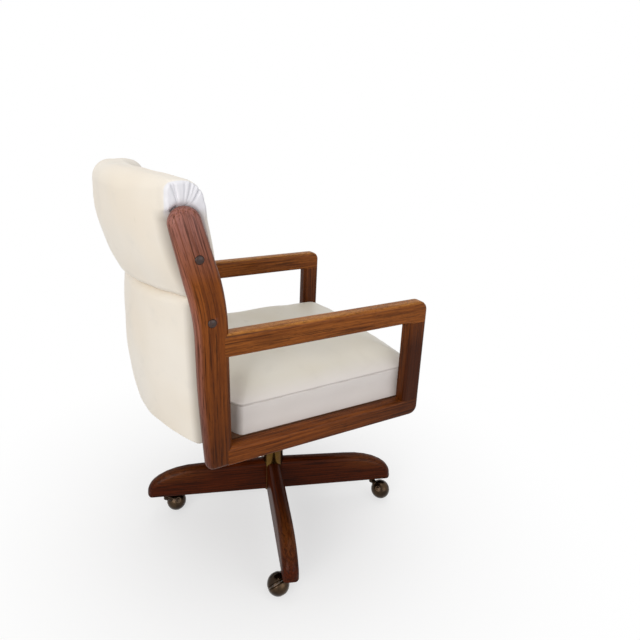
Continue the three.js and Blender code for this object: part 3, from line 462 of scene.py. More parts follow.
def addObject(name, points, faces, paintedCoolLight=None):
    mesh = bpy.data.meshes.new(name)
    places = np.asarray(points, float) * mm + hubShift
    mesh.from_pydata(places.tolist(), [], faces)
    piece = addToScene(name, mesh)
    # painted cool light, where the piece has some
    if paintedCoolLight is not None:
        paint(piece, "paintedCoolLight", paintedCoolLight)
    tidy = bmesh.new()
    tidy.from_mesh(mesh)
    bmesh.ops.remove_doubles(tidy, verts=tidy.verts, dist=meshing["weld"] * mm)
    bmesh.ops.recalc_face_normals(tidy, faces=tidy.faces)
    tidy.to_mesh(mesh)
    tidy.free()
    return piece


def addPiece(name, points, faces, material, body, replaces, cutters=(), paintedCoolLight=None,
             sharpAngle=meshing["sharpAngle"]):
    piece = addObject(name, points, faces, paintedCoolLight)
    for cutter in cutters:
        cut(piece, *cutter)
    mesh = piece.data
    mesh.shade_smooth()
    mesh.set_sharp_from_angle(angle=math.radians(sharpAngle))
    mesh.materials.clear()
    mesh.materials.append(materials[material])
    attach(piece, body)
    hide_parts(*replaces)
    return piece


def cut(piece, start, end, radius):
    # takes a round bar out of a piece
    length = math.dist(start, end)
    profile = [(0, 0), (radius, 0), (radius, length), (0, length)]
    tool = addObject("cutter", *revolved(profile, start, np.subtract(end, start), meshing["drillSides"]))
    drill = piece.modifiers.new("drill", "BOOLEAN")
    drill.object = tool
    drill.solver = "EXACT"
    bpy.context.view_layer.update()
    graph = bpy.context.evaluated_depsgraph_get()
    made = bpy.data.meshes.new_from_object(piece.evaluated_get(graph))
    piece.modifiers.clear()
    piece.data = made
    bpy.data.objects.remove(tool)


def revolved(profile, base, along, sides=48):
    # turns (radius, height) points about the line from base along a direction
    base, along = np.array(base, float), np.array(along, float)
    along = along / np.linalg.norm(along)
    first = np.cross(along, up if abs(along[2]) < 0.9 else (1, 0, 0))
    first /= np.linalg.norm(first)
    second = np.cross(along, first)
    turn = np.linspace(0, 2 * math.pi, sides, endpoint=False)
    around = np.outer(np.cos(turn), first) + np.outer(np.sin(turn), second)
    points = np.concatenate([base + along * height + around * radius for radius, height in profile])
    return points, gridFaces(len(profile), sides, True)


def gridFaces(rows, columns, closed, start=0):
    faces = []
    for i in range(rows - 1):
        for j in range(columns if closed else columns - 1):
            k = (j + 1) % columns
            faces.append((start + i * columns + j, start + i * columns + k,
                          start + (i + 1) * columns + k, start + (i + 1) * columns + j))
    return faces


def endFaces(count, size):
    # the first and the last ring of a grid as faces
    return [tuple(range(size)), tuple(range(count - size, count))]


def addTurned(name, profile, base, along, material, body, node, sides=48):
    points, faces = revolved(profile, base, along, sides)
    return addPiece(name, points, faces, material, body, [node])


def paint(piece, name, values):
    # stores one number or one vector for each point of a piece
    values = np.asarray(values, np.float32)
    kind, key = ("FLOAT", "value") if values.ndim == 1 else ("FLOAT_VECTOR", "vector")
    attribute = piece.data.attributes.new(name, kind, "POINT")
    attribute.data.foreach_set(key, values.ravel())


def meshPoints(piece):
    count = len(piece.data.vertices)
    points, normals = np.zeros(count * 3), np.zeros(count * 3)
    piece.data.vertices.foreach_get("co", points)
    piece.data.vertices.foreach_get("normal", normals)
    return (points.reshape(-1, 3) - hubShift) / mm, normals.reshape(-1, 3)


def paintGrain(piece, grainOf, **shares):
    # grainOf turns points into across, through and along the board
    points, normals = meshPoints(piece)
    spread = np.array(oak["logSpread"])
    inLog = rng.uniform(-spread, spread)
    paint(piece, "grain", np.stack(grainOf(*points.T), axis=1) * mm + inLog)
    for name in ("wear", "tone", "haze"):
        shareOf = shares.get(name, lambda points, normals: np.zeros(len(points)))
        paint(piece, name, shareOf(points, normals))


# Boards with rounded edges

def distanceTo(points, line):
    starts, runs = line[:-1], np.diff(line, axis=0)
    keep = (runs ** 2).sum(axis=1) > 1e-9
    starts, runs = starts[keep], runs[keep]
    offset = points[:, None] - starts
    share = np.clip((offset * runs).sum(axis=2) / (runs ** 2).sum(axis=1), 0, 1)
    return np.linalg.norm(offset - share[..., None] * runs, axis=2).min(axis=1)


def arc(centre, radius, fromAngle, toAngle, steps=14):
    angles = np.radians(np.linspace(fromAngle, toAngle, steps))
    return np.array(centre) + radius * np.stack([np.cos(angles), np.sin(angles)], axis=1)


def roundLack(radius, gap):
    # how far a rounded corner falls short at a gap from its end
    return radius - math.sqrt(radius ** 2 - max(0, radius - gap) ** 2)


def board(stations, edges, half, toRow, columns=19):
    # stations are rows of (middle a, middle b, across a, across b, half width) in the drawing of the board's
    # face, edges are (line, radius) pairs, and toRow puts drawing points (a, b) with a depth c into the chair
    stations = np.array(stations, float)
    middle, across, reach = stations[:, :2], stations[:, 2:4], stations[:, 4]
    share = np.sin(np.linspace(-math.pi / 2, math.pi / 2, columns))
    face = middle[:, None] + across[:, None] * (reach[:, None] * share)[..., None]
    flat = face.reshape(-1, 2)
    depth = np.full(len(flat), float(half))
    for line, radius in edges:
        within = np.clip(distanceTo(flat, np.asarray(line, float)) / radius, 0, 1)
        depth = np.minimum(depth, half - radius * (1 - np.sqrt(1 - (1 - within) ** 2)))
    rows, count = len(stations), len(flat)
    points = np.concatenate([toRow(flat[:, 0], flat[:, 1], depth), toRow(flat[:, 0], flat[:, 1], -depth)])
    faces = gridFaces(rows, columns, False) + gridFaces(rows, columns, False, count)
    rim = list(range(columns)) + [i * columns + columns - 1 for i in range(1, rows)]
    rim += [(rows - 1) * columns + j for j in range(columns - 2, -1, -1)]
    rim += [i * columns for i in range(rows - 2, 0, -1)]
    faces += [(here, there, there + count, here + count) for here, there in zip(rim, rim[1:] + rim[:1])]
    return points, faces


def spaced(length, fine, step):
    # places from 0 to length, closer together near 0
    steps = meshing["nearSteps"]
    near = [fine * (1 - math.cos(math.pi / 2 * k / steps)) for k in range(steps)]
    return near + list(np.linspace(fine, length, max(2, round((length - fine) / step) + 1)))


# Side frames

sideFrame = {
    "cornerRadius": 22,
    "edgeRadius": 8,
    "endsIn": 12,  # the boards run this far into the upright, whose edges are round
    "stationStep": 10, "lastGap": 12,
}
# shares of the boards' wear with its painted lighter top, of their painted shade and of their painted sheen,
# and the heights or places between which they change
armrest = {"wear": (0.12, 0.95), "topWearAndLight": 1.7, "sideWear": 0.5}
sideRail = {"tone": 0.2, "frontPaintedShade": 0.75, "frontFade": (60, -260), "topShare": 0.5}
frontPost = {"tone": 0.75, "sidePaintedShade": 0.35, "topFade": (560, 610), "topShare": 0.35, "stations": 24}
upright = {
    "width": 66,
    "kneeWidth": 70,  # where the bend ends
    "topWidth": 59,
    "footRadius": 16,
    "footRise": 9,  # its foot stands this much above the CAD's, level with the rail
    "taperHigh": 570,
    "taper": 9,  # narrower by this at the foot, behind
    "taperPower": 1.3,
    "bendBack": 263.7,  # from the hub's axis to the middle of the upright where the bend starts
    "bendRise": 293,  # from the side rail's underside
    "bendHeight": 110,
    "lowerLean": 1.2,
    "upperLean": 14.9,
    "edgeRadius": 15,
    "stationStep": 9, "topSteps": 12,
    # painted shade darker towards the foot, and painted sheen towards the top and on the rounded rear edge
    "tone": 0.7, "paintedShadeFade": (690, 430),
    "haze": 0.66, "paintedSheenFade": (780, 900), "rearPaintedSheen": 0.42, "rearPaintedSheenFade": (0.25, 0.75),
}
plug = {
    "radius": 8.5,
    "dome": 2.8, "domeSteps": 9,
    "shank": 6, "rim": 0.6,
    "bore": 9.1, "boreDepth": 10.5, "overrun": 3,
    "places": {"upper": (452, 3.4), "lower": (326, -1.8)},  # above the rail's underside, ahead of the middle
}
armLow, armHigh = nodeBox("armrest_left")
railLow, railHigh = nodeBox("side_rail_left")
postLow, postHigh = nodeBox("front_post_left")
uprightLow, uprightHigh = nodeBox("rear_upright_left")
frameFront = armLow[1]
frameMiddle = (armLow[0] + armHigh[0]) / 2
frameHalf = (armHigh[0] - armLow[0]) / 2
holeFront = postHigh[1]
bendStart = railLow[2] + upright["bendRise"]
uprightTop = uprightHigh[2] - upright["topWidth"] / 2  # where its round end starts


def uprightLine(height):
    # the upright's middle line: its place from front to rear, and its slope, at a height
    low, high = (math.tan(math.radians(upright[key])) for key in ("lowerLean", "upperLean"))
    bend = upright["bendHeight"]
    rise = np.asarray(height, float) - bendStart
    bent = np.clip(rise, 0, bend)
    place = upright["bendBack"] + low * np.minimum(rise, 0) + low * bent + (high - low) / bend * bent ** 2 / 2
    return place + high * np.maximum(rise - bend, 0), low + (high - low) * bent / bend


def uprightHalf(height):
    widths = [upright["width"], upright["kneeWidth"], upright["topWidth"]]
    return np.interp(height, [bendStart, bendStart + upright["bendHeight"], uprightHigh[2]], widths) / 2


def boardEnd(height):
    # where a board ends inside the upright
    place, slope = uprightLine(height)
    return place - uprightHalf(height) * np.hypot(1, slope) + sideFrame["endsIn"]


def uprightStations():
    bottom, taperHigh = uprightLow[2] + upright["footRise"], upright["taperHigh"]
    foot, stations = upright["footRadius"], []
    for gap in spaced(uprightTop - bottom, foot, upright["stationStep"]):
        height = bottom + gap
        place, slope = uprightLine(height)
        across = np.array((1, -slope)) / np.hypot(1, slope)
        low = max(0, (taperHigh - height) / (taperHigh - bottom)) ** upright["taperPower"]
        half = uprightHalf(height) - roundLack(foot, gap) - upright["taper"] * low / 2
        stations.append((place - upright["taper"] * low / 2, height, *across, half))
    place, slope = uprightLine(uprightTop)
    across = np.array((1, -slope)) / np.hypot(1, slope)
    along = np.array((slope, 1)) / np.hypot(1, slope)
    end = uprightHalf(uprightTop)
    for angle in np.radians(np.linspace(0, 90, upright["topSteps"] + 1)[1:]):
        middle = np.array((place, uprightTop)) + along * end * math.sin(angle)
        stations.append((*middle, *across, end * math.cos(angle)))
    return stations


def outlineOf(stations):
    rows = np.array(stations)
    offset = rows[:, 2:4] * rows[:, 4:]
    one, other = rows[:, :2] + offset, rows[:, :2] - offset
    return np.concatenate([one, other[::-1], one[:1]])


def plugPlace(level):
    rise, forward = plug["places"][level]
    height = railLow[2] + rise
    return float(uprightLine(height)[0]) - forward, height


# painted shade, darker on the outer face and lighter towards the top
def postPaintedShade(points, normals):
    outer = np.clip(np.sign(points[:, 0]) * normals[:, 0] * 2, 0, 1)
    faded = 1 - frontPost["topShare"] * ramp(points[:, 2], *frontPost["topFade"])
    return (frontPost["tone"] + frontPost["sidePaintedShade"] * outer) * faded


# wear, and a painted lighter top where the faces look up
def armWearAndTopLight(points, normals):
    least, most = armrest["wear"]
    return np.maximum(np.clip(normals[:, 2] * armrest["topWearAndLight"] - armrest["sideWear"], 0, most), least)


# painted shade, darker towards the front and lighter on the top
def railPaintedShade(points, normals):
    shaded = sideRail["tone"] + sideRail["frontPaintedShade"] * ramp(points[:, 1], *sideRail["frontFade"])
    return shaded * (1 - sideRail["topShare"] * np.clip(normals[:, 2], 0, 1))


# painted shade, darker towards the foot
def uprightPaintedShade(points, normals):
    return upright["tone"] * ramp(points[:, 2], *upright["paintedShadeFade"])


# painted sheen towards the top and on the rounded rear edge
def uprightPaintedSheen(points, normals):
    turned = upright["rearPaintedSheen"] * ramp(normals[:, 1], *upright["rearPaintedSheenFade"])  # painted sheen on the rounded rear edge
    return np.maximum(upright["haze"] * ramp(points[:, 2], *upright["paintedSheenFade"]), turned)


def railStations(low, high, roundHigh):
    # along an armrest or a side rail, from its rounded front corner to the upright's slanted line
    corner, half = sideFrame["cornerRadius"], (high - low) / 2
    rearLow, rearHigh = boardEnd(low), boardEnd(high)
    length = (rearLow + rearHigh) / 2 - frameFront
    rows = []
    for gap in spaced(length - sideFrame["lastGap"], corner, sideFrame["stationStep"]):
        lack = roundLack(corner, gap)
        middle = (low + high - lack) / 2 if roundHigh else (low + high + lack) / 2
        rows.append((frameFront + gap, middle, 0, 1, (high - low - lack) / 2))
    rows.append(((rearLow + rearHigh) / 2, (low + high) / 2, (rearHigh - rearLow) / 2 / half, 1, half))
    return rows


def makeSideFrame(sideName):
    side = sides[sideName]
    corner, edge = sideFrame["cornerRadius"], sideFrame["edgeRadius"]
    bottom, top = railLow[2], armHigh[2]
    toRow = lambda a, b, c: np.stack([np.full_like(a, side * frameMiddle) + c, a, b], axis=1)
    beyond = upright["bendBack"]
    outer = np.concatenate([
        [(beyond, top)], arc((frameFront + corner, top - corner), corner, 90, 180),
        arc((frameFront + corner, bottom + corner), corner, 180, 270), [(beyond, bottom)],
    ])
    hole = [(beyond, railHigh[2]), (holeFront, railHigh[2]), (holeFront, armLow[2]), (beyond, armLow[2])]
    edges = [(outer, edge), (hole, edge)]
    lengthwise = lambda x, y, z: (z, x, y)
    postMiddle, postHalf = (frameFront + holeFront) / 2, (holeFront - frameFront) / 2
    postStations = [(postMiddle, z, 1, 0, postHalf)
                    for z in np.linspace(postLow[2], postHigh[2], frontPost["stations"])]
    for part, stations, grainOf, shares in (
            ("armrest", railStations(armLow[2], armHigh[2], True), lengthwise, {"wear": armWearAndTopLight}),
            ("side_rail", railStations(railLow[2], railHigh[2], False), lengthwise, {"tone": railPaintedShade}),
            ("front_post", postStations, lambda x, y, z: (y, x, z), {"tone": postPaintedShade})):
        points, faces = board(stations, edges, frameHalf, toRow)
        name = f"{part}_{sideName}"
        piece = addPiece(name + "_wood", points, faces, "frameOak", "seat", [name])
        paintGrain(piece, grainOf, **shares)
    stations = uprightStations()
    points, faces = board(stations, [(outlineOf(stations), upright["edgeRadius"])], frameHalf, toRow)
    outside = side * (frameMiddle + frameHalf)
    cutters = []
    for level in plug["places"]:
        y, z = plugPlace(level)
        start, end = outside + side * plug["overrun"], outside - side * plug["boreDepth"]
        cutters.append(((start, y, z), (end, y, z), plug["bore"]))
    name = f"rear_upright_{sideName}"
    post = addPiece(name + "_wood", points, faces, "frameOak", "seat", [name], cutters)
    paintGrain(post, lambda x, y, z: (y - uprightLine(z)[0], x, z), tone=uprightPaintedShade, haze=uprightPaintedSheen)
    radius, dome = plug["radius"], plug["dome"]
    turns = np.radians(np.linspace(0, 90, plug["domeSteps"]))
    profile = [(0, -plug["shank"]), (radius, -plug["shank"]), (radius, -plug["rim"])]
    profile += [(radius * math.cos(turn), dome * math.sin(turn)) for turn in turns]
    for level in plug["places"]:
        base = (outside, *plugPlace(level))
        button = addTurned(f"plug_button_{sideName}_{level}", profile, base, (side, 0, 0), "plugOak", "seat",
                           f"wood_plug_{sideName}_{level}")
        paintGrain(button, lambda x, y, z: (y, z, x))


for sideName in sides:
    makeSideFrame(sideName)
print("side frames made")


# Base

leg = {
    "reach": 350,
    "start": 16,  # from the hub's axis, inside the hub
    "thickness": 39,
    "shoulderDrop": 6,
    "shoulderLength": 140,
    "noseRadius": 11,
    "topRadius": 17,
    "bottomRadius": 7,
    "tipRadius": 13,
    "cope": 28.3,
    "socketHole": 8.1,
    "socketDepth": 41,
    "overrun": 5,
    "stationStep": 14, "columns": 25,
    "noseGaps": [0.5, 1.5, 5.5, 8.0, 11.0, 18.0],
    # wear with a painted sheen on the top towards the tip
    "wear": 0.4, "wearAndSheenAlong": (150, 300), "wearAndSheenHigh": (95, 135),
}
legBottom, legTop = levels("base_leg_1")


def legStations():
    reach, nose, shoulder = leg["reach"], leg["noseRadius"], leg["reach"] - leg["shoulderLength"]
    gaps = spaced(reach - leg["start"], leg["shoulderLength"], leg["stationStep"]) + leg["noseGaps"]
    rows = []
    for gap in sorted(gaps):
        a = reach - gap
        high = legTop - leg["shoulderDrop"] * min(1, max(0, a / shoulder))
        if a > shoulder:
            rise, out = high - legBottom - nose, (a - shoulder) / leg["shoulderLength"]
            high = legBottom + nose + rise * math.sqrt(max(0, 1 - out ** 2))
        low = legBottom + (roundLack(nose, gap) if gap < nose else 0)
        rows.append((a, (low + high) / 2, 0, 1, (high - low) / 2))
    return rows


def jointPlace(name):
    return (np.array(joints[name]["pos_m"]) - hubShift) / mm


def makeLeg(index):
    stem = jointPlace(f"caster_swivel_{index}")
    outX, outY = stem[:2] / np.linalg.norm(stem[:2])

    def toRow(a, b, c):
        # the tip's upright edges are round too
        toTip = np.clip((a - leg["reach"] + leg["tipRadius"]) / leg["tipRadius"], 0, 1)
        c = c * (1 - (1 - np.sqrt(1 - toTip ** 2)) * leg["tipRadius"] / (leg["thickness"] / 2))
        return np.stack([a * outX - c * outY, a * outY + c * outX, b], axis=1)

    # wear with a painted sheen on the upper side towards the tip
    def wearAndSheenOf(points, normals):
        along = points[:, 0] * outX + points[:, 1] * outY
        return leg["wear"] * ramp(along, *leg["wearAndSheenAlong"]) * ramp(points[:, 2], *leg["wearAndSheenHigh"])

    stations = legStations()
    rows = np.array(stations)
    offset = rows[:, 2:4] * rows[:, 4:]
    edges = [(rows[:, :2] + offset, leg["topRadius"]), (rows[:, :2] - offset, leg["bottomRadius"])]
    points, faces = board(stations, edges, leg["thickness"] / 2, toRow, leg["columns"])
    low = legBottom - leg["overrun"]
    cutters = [
        ((0, 0, low), (0, 0, legTop + leg["overrun"]), leg["cope"]),
        ((*stem[:2], low), (*stem[:2], legBottom + leg["socketDepth"]), leg["socketHole"]),
    ]
    name = f"base_leg_{index}"
    piece = addPiece(name + "_wood", points, faces, "legOak", "base", [name], cutters)
    paintGrain(piece, lambda x, y, z: (z, y * outX - x * outY, x * outX + y * outY), wear=wearAndSheenOf)


for index in range(1, 5):
    makeLeg(index)
print("legs made")


# Back pads. Each is a tube of loops across the chair, closed at its ends by caps that bulge beside the wood.

softGap = 0.8
softHalfWidth = frameMiddle - frameHalf - softGap
curveHalfWidth = 238  # the back's curve and the cushion's bows run out here
lowerPad = {
    "low": railHigh[2] - 0.3,
    "height": 321.5,
    "endDrop": 0,
    "frontReach": 21.5,  # from the upright's middle line forward to the pad's front, at its ends
    "frontSwell": 0,  # this much more at its top edge
    "frontSag": 60,
    # the rear's place, and how far it falls off over a reach below and above its fullest height
    "rearMiddle": {"place": 374, "fullest": 590, "below": (19, 167), "above": (6, 130)},
    "rearEnd": {"place": 285, "rise": 11, "from": 423, "reach": 297, "power": 1},
    "corners": {"rearTop": 24, "frontTop": 18, "frontBottom": 12, "rearBottom": 4.5},
    "endCorners": {"rearTop": 18, "frontTop": 14, "frontBottom": 10, "rearBottom": 4},
    "endRadius": {"top": 14, "front": 14, "rear": 14},
    "bulge": {"top": 1, "front": 1, "rear": 0.5},
    "pleats": 0,
    "ripple": 0.9,
}
upperPad = {
    "low": lowerPad["low"] + lowerPad["height"] + 1,
    "height": 239.5,
    "endDrop": 12,  # the top edge falls this much to the ends
    "frontReach": 39,
    "frontSwell": 17,
    "frontSag": 66,
    "rearMiddle": {"place": 423, "fullest": 925, "below": (38, 165), "above": (0, 1)},
    "rearEnd": {"place": 343, "rise": -48, "from": 930, "reach": 185, "power": 2},
    "corners": {"rearTop": 37, "frontTop": 22, "frontBottom": 18, "rearBottom": 15},
    "endCorners": {"rearTop": 19, "frontTop": 31, "frontBottom": 14, "rearBottom": 12},
    "endRadius": {"top": 8, "front": 13, "rear": 22},
    "bulge": {"top": 12, "front": 10, "rear": 1.5},
    "pleats": 2.6,
    "ripple": 1.1,
}
padLook = {
    "acrossSteps": 64, "edgeSteps": 12,
    "capShares": [0.97, 0.92, 0.85, 0.76, 0.66, 0.55, 0.43, 0.3, 0.17, 0.05],  # of the way out to the rim
    "cornerSpread": 1.6,  # how soon the corners change from the ends' to the middle's
    "aboveReach": 24,  # the ends change over this height above the wood's straight part
    "meetingReach": 26, "meetingShare": 0.65,  # the ends are less round where the pads meet
    "clearReach": 11,  # the ends bulge in full this far outside the wood's outline
    "spineLow": 45, "spineHigh": 70,  # the caps' middles keep this far from the pad's foot and top
    # where painted cool light sets in on the ends' rounding, and its share on the caps in front of the wood
    "paintedCoolLightStep": 5, "frontPaintedCoolLight": 0.5,
    "waves": (7, 60, 190), "wrinkles": (6, 26, 60), "wrinkleDepth": 0.5, "wrinkleScale": (2.2, 0.5),
    "wrinkleReach": 46, "rippleFade": 40,
    # painted shade close beside the wood
    "paintedCreaseShade": 0.75, "paintedCreaseShadeReach": 22, "paintedCreaseShadePower": 1.3, "paintedCreaseShadeHigh": (915, 895), "paintedCreaseShadeBehind": (0, 10),
}
pleat = {
    # degrees from straight up, towards the front, and each one's share of the full depth
    "places": [(-64, 0.6), (-47, 0.4), (-31, 0.4), (-19, 1.1), (-11, 0.9), (4, 0.5), (13, 0.9), (23, 0.6),
               (33, 1.2), (50, 0.7)],
    "jitter": 4, "depths": (0.75, 1.2), "width": 1.7, "widening": 0.5,
    "window": (33, 49),  # from the middle of the upright's round end
    "edgePower": 1.5,
}
loopParts = {  # a loop's parts, from the rear's foot over the top and down the front, and the steps of each
    "rear": 44, "rearTop": 44, "top": 24, "frontTop": 40, "front": 40, "frontBottom": 12, "bottom": 10,
    "rearBottom": 12,
}
padsMeet = upperPad["low"]


def inward(x):
    # 0 at the side frames and 1 in the middle
    return 1 - min(1, (x / curveHalfWidth) ** 2)


def rearOf(pad, x, z):
    curve, ends = pad["rearMiddle"], pad["rearEnd"]
    fall, reach = curve["below" if z < curve["fullest"] else "above"]
    middle = curve["place"] - fall * ((z - curve["fullest"]) / reach) ** 2
    end = ends["place"] + ends["rise"] * ((z - ends["from"]) / ends["reach"]) ** ends["power"]
    return end + (middle - end) * inward(x)


def frontOf(pad, x, z):
    downShare = 1 - (z - pad["low"]) / pad["height"]
    reach = pad["frontReach"] + pad["frontSwell"] * (1 - downShare ** 2)
    return uprightLine(z)[0] - reach + pad["frontSag"] * inward(x)


def padPoint(pad, part, share, x, inset):
    # a point (y, z) of the loop at x, drawn in by inset
    low = pad["low"] + inset
    high = pad["low"] + pad["height"] - pad["endDrop"] * (1 - inward(x)) - inset
    spread = min(1, padLook["cornerSpread"] * inward(x))
    corner = {name: max(1, end + (pad["corners"][name] - end) * spread - inset)
              for name, end in pad["endCorners"].items()}
    rear = lambda z: rearOf(pad, x, z) - inset
    front = lambda z: frontOf(pad, x, z) + inset
    if part in ("rear", "front"):
        bottom, top = low + corner[part + "Bottom"], high - corner[part + "Top"]
        z = bottom + (top - bottom) * share if part == "rear" else top - (top - bottom) * share
        return (rear if part == "rear" else front)(z), z
    if part == "top":
        start, end = rear(high) - corner["rearTop"], front(high) + corner["frontTop"]
        return start + (end - start) * share, high
    if part == "bottom":
        start, end = front(low) + corner["frontBottom"], rear(low) - corner["rearBottom"]
        return start + (end - start) * share, low
    radius = corner[part]
    angle = math.pi / 2 * (share if part in ("rearTop", "frontBottom") else 1 - share)
    lift, lack = radius * math.sin(angle), radius * (1 - math.cos(angle))
    z = high - radius + lift if part.endswith("Top") else low + radius - lift
    return (rear(z) - lack if part.startswith("rear") else front(z) + lack), z


def outsideUpright(y, z):
    # how far a point of the side view lies outside the upright's outline
    place, slope = uprightLine(min(z, uprightTop))
    if z > uprightTop:
        return math.hypot(y - place, z - uprightTop) - upright["topWidth"] / 2
    return abs(y - place) / math.hypot(1, slope) - uprightHalf(z)


def makeWaves(count, shortest, longest):
    turns = rng.uniform(0, 2 * math.pi, (count, 2))
    lengths = rng.uniform(shortest, longest, count)
    return lambda u, v: sum(
        math.sin(2 * math.pi * (u * math.cos(turn) + v * math.sin(turn)) / length + phase)
        for (turn, phase), length in zip(turns, lengths)) / math.sqrt(count)


def unit(vector):
    return vector / np.linalg.norm(vector)


def padGrid(pad):
    track = [(part, i / count) for part, count in loopParts.items() for i in range(count)]
    edge, bulge = pad["endRadius"], pad["bulge"]
    steps, across = padLook["edgeSteps"], padLook["acrossSteps"]
    topPlace = float(uprightLine(uprightTop)[0])
    waves, wrinkles = makeWaves(*padLook["waves"]), makeWaves(*padLook["wrinkles"])
    loops, patches = {}, {}
    for side in (-1, 1):
        jitter = rng.uniform(-pleat["jitter"], pleat["jitter"], len(pleat["places"]))
        deep = rng.uniform(*pleat["depths"], len(pleat["places"]))
        for k, (part, share) in enumerate(track):
            placeAt = lambda x, inset: np.array(padPoint(pad, part, share, x, inset))
            outerPoint, innerPoint = placeAt(softHalfWidth, 0), placeAt(softHalfWidth, edge["rear"])
            above = min(1, max(0, (outerPoint[1] - uprightTop) / padLook["aboveReach"]))
            ahead = outerPoint[0] < uprightLine(min(outerPoint[1], uprightTop))[0]
            beside = "front" if ahead else "rear"
            meeting = max(0, 1 - abs(outerPoint[1] - padsMeet) / padLook["meetingReach"])
            radius = edge[beside] + (edge["top"] - edge[beside]) * above
            radius *= 1 - padLook["meetingShare"] * meeting
            rim = placeAt(softHalfWidth, radius)
            outward = unit(outerPoint - innerPoint)
            strength = bulge[beside] + (bulge["top"] - bulge[beside]) * above

            def bulgeAt(point):
                clear = min(1, max(0, outsideUpright(*point) / padLook["clearReach"]))
                return strength * math.sqrt(1 - (1 - clear) ** 2)

            def pleatAt(point):
                y, z = point
                angle = math.degrees(math.atan2(topPlace - y, z - uprightTop))
                window = ramp(math.hypot(y - topPlace, z - uprightTop), *pleat["window"]) * above
                depth = 0
                for (place, amount), shift, deepness in zip(pleat["places"], jitter, deep):
                    width = pleat["width"] + pleat["widening"] * deepness
                    depth += amount * deepness * math.exp(-((angle - place - shift) / width) ** 2)
                return pad["pleats"] * window * depth

            def put(row, x, point, paintedCoolLight):
                loops[side, row, k], patches[side, row, k] = (side * x, *point), paintedCoolLight

            for i in range(1, steps + 1):
                turn = math.pi / 2 * i / steps
                reached = softHalfWidth - radius * (1 - math.sin(turn))
                point = placeAt(reached, radius * (1 - math.cos(turn)))
                x = reached + bulgeAt(rim) * math.sin(turn)
                fold = pleatAt(point) * math.sin(turn) ** pleat["edgePower"]
                point = point - outward * fold * math.cos(turn)
                # painted cool light on the outer rounding above the wood
                put(across + i, x - fold * math.sin(turn), point,
                    above * min(1, max(0, (i - padLook["paintedCoolLightStep"]) / 2)))
            top = pad["low"] + pad["height"]
            centreZ = min(max(rim[1], pad["low"] + padLook["spineLow"]), top - padLook["spineHigh"])
            spine = np.array((float(uprightLine(centreZ)[0]), centreZ))
            for i, size in enumerate(padLook["capShares"]):
                point = spine + (rim - spine) * size
                # painted cool light on the caps above the wood and in front of it
                put(across + steps + 1 + i, softHalfWidth + bulgeAt(point) - pleatAt(point), point,
                    max(above, padLook["frontPaintedCoolLight"] if ahead else 0))
            start = softHalfWidth - radius
            for i in range(across // 2 + 1):
                x = start * i / (across // 2)
                here = placeAt(x, 0)
                nearEnd = math.exp(-((softHalfWidth - x) / padLook["wrinkleReach"]) ** 2)
                fade = min(1, (start - x) / padLook["rippleFade"])
                fade *= fade * (3 - 2 * fade)
                overX, overY = padLook["wrinkleScale"]
                swell = fade * pad["ripple"] * waves(side * x, here[1] + here[0])
                wrinkle = wrinkles(side * x * overX, here[1] * overY)
                swell += fade * padLook["wrinkleDepth"] * wrinkle * nearEnd
                put(across // 2 + i, x, here + unit(here - placeAt(x, edge["rear"])) * swell, 0)
    last = across + steps + len(padLook["capShares"])
    rows = [(-1, i) for i in range(last, across // 2, -1)] + [(1, i) for i in range(across // 2, last + 1)]
    keys = [(*row, k) for row in rows for k in range(len(track))]
    points, paintedCoolLight = [loops[key] for key in keys], [patches[key] for key in keys]
    faces = gridFaces(len(rows), len(track), True) + endFaces(len(points), len(track))
    return points, faces, paintedCoolLight


for name, pad in {"lower": lowerPad, "upper": upperPad}.items():
    points, faces, paintedCoolLight = padGrid(pad)
    piece = addPiece(f"{name}_pad_vinyl", points, faces, "vinyl", "seat", [f"{name}_back_pad"],
                     sharpAngle=meshing["softSharpAngle"], paintedCoolLight=paintedCoolLight)
    x, y, z = meshPoints(piece)[0].T
    # painted shade beside the wood, behind the upright's middle and below its top
    beside = ramp(np.abs(x), softHalfWidth - padLook["paintedCreaseShadeReach"], softHalfWidth) ** padLook["paintedCreaseShadePower"]
    beside *= ramp(z, *padLook["paintedCreaseShadeHigh"]) * ramp(y - uprightLine(z)[0], *padLook["paintedCreaseShadeBehind"])
    paint(piece, "paintedCreaseShade", padLook["paintedCreaseShade"] * beside)
print("back pads made")


# Seat cushion, as rings from its foot up the boxing and over the crown

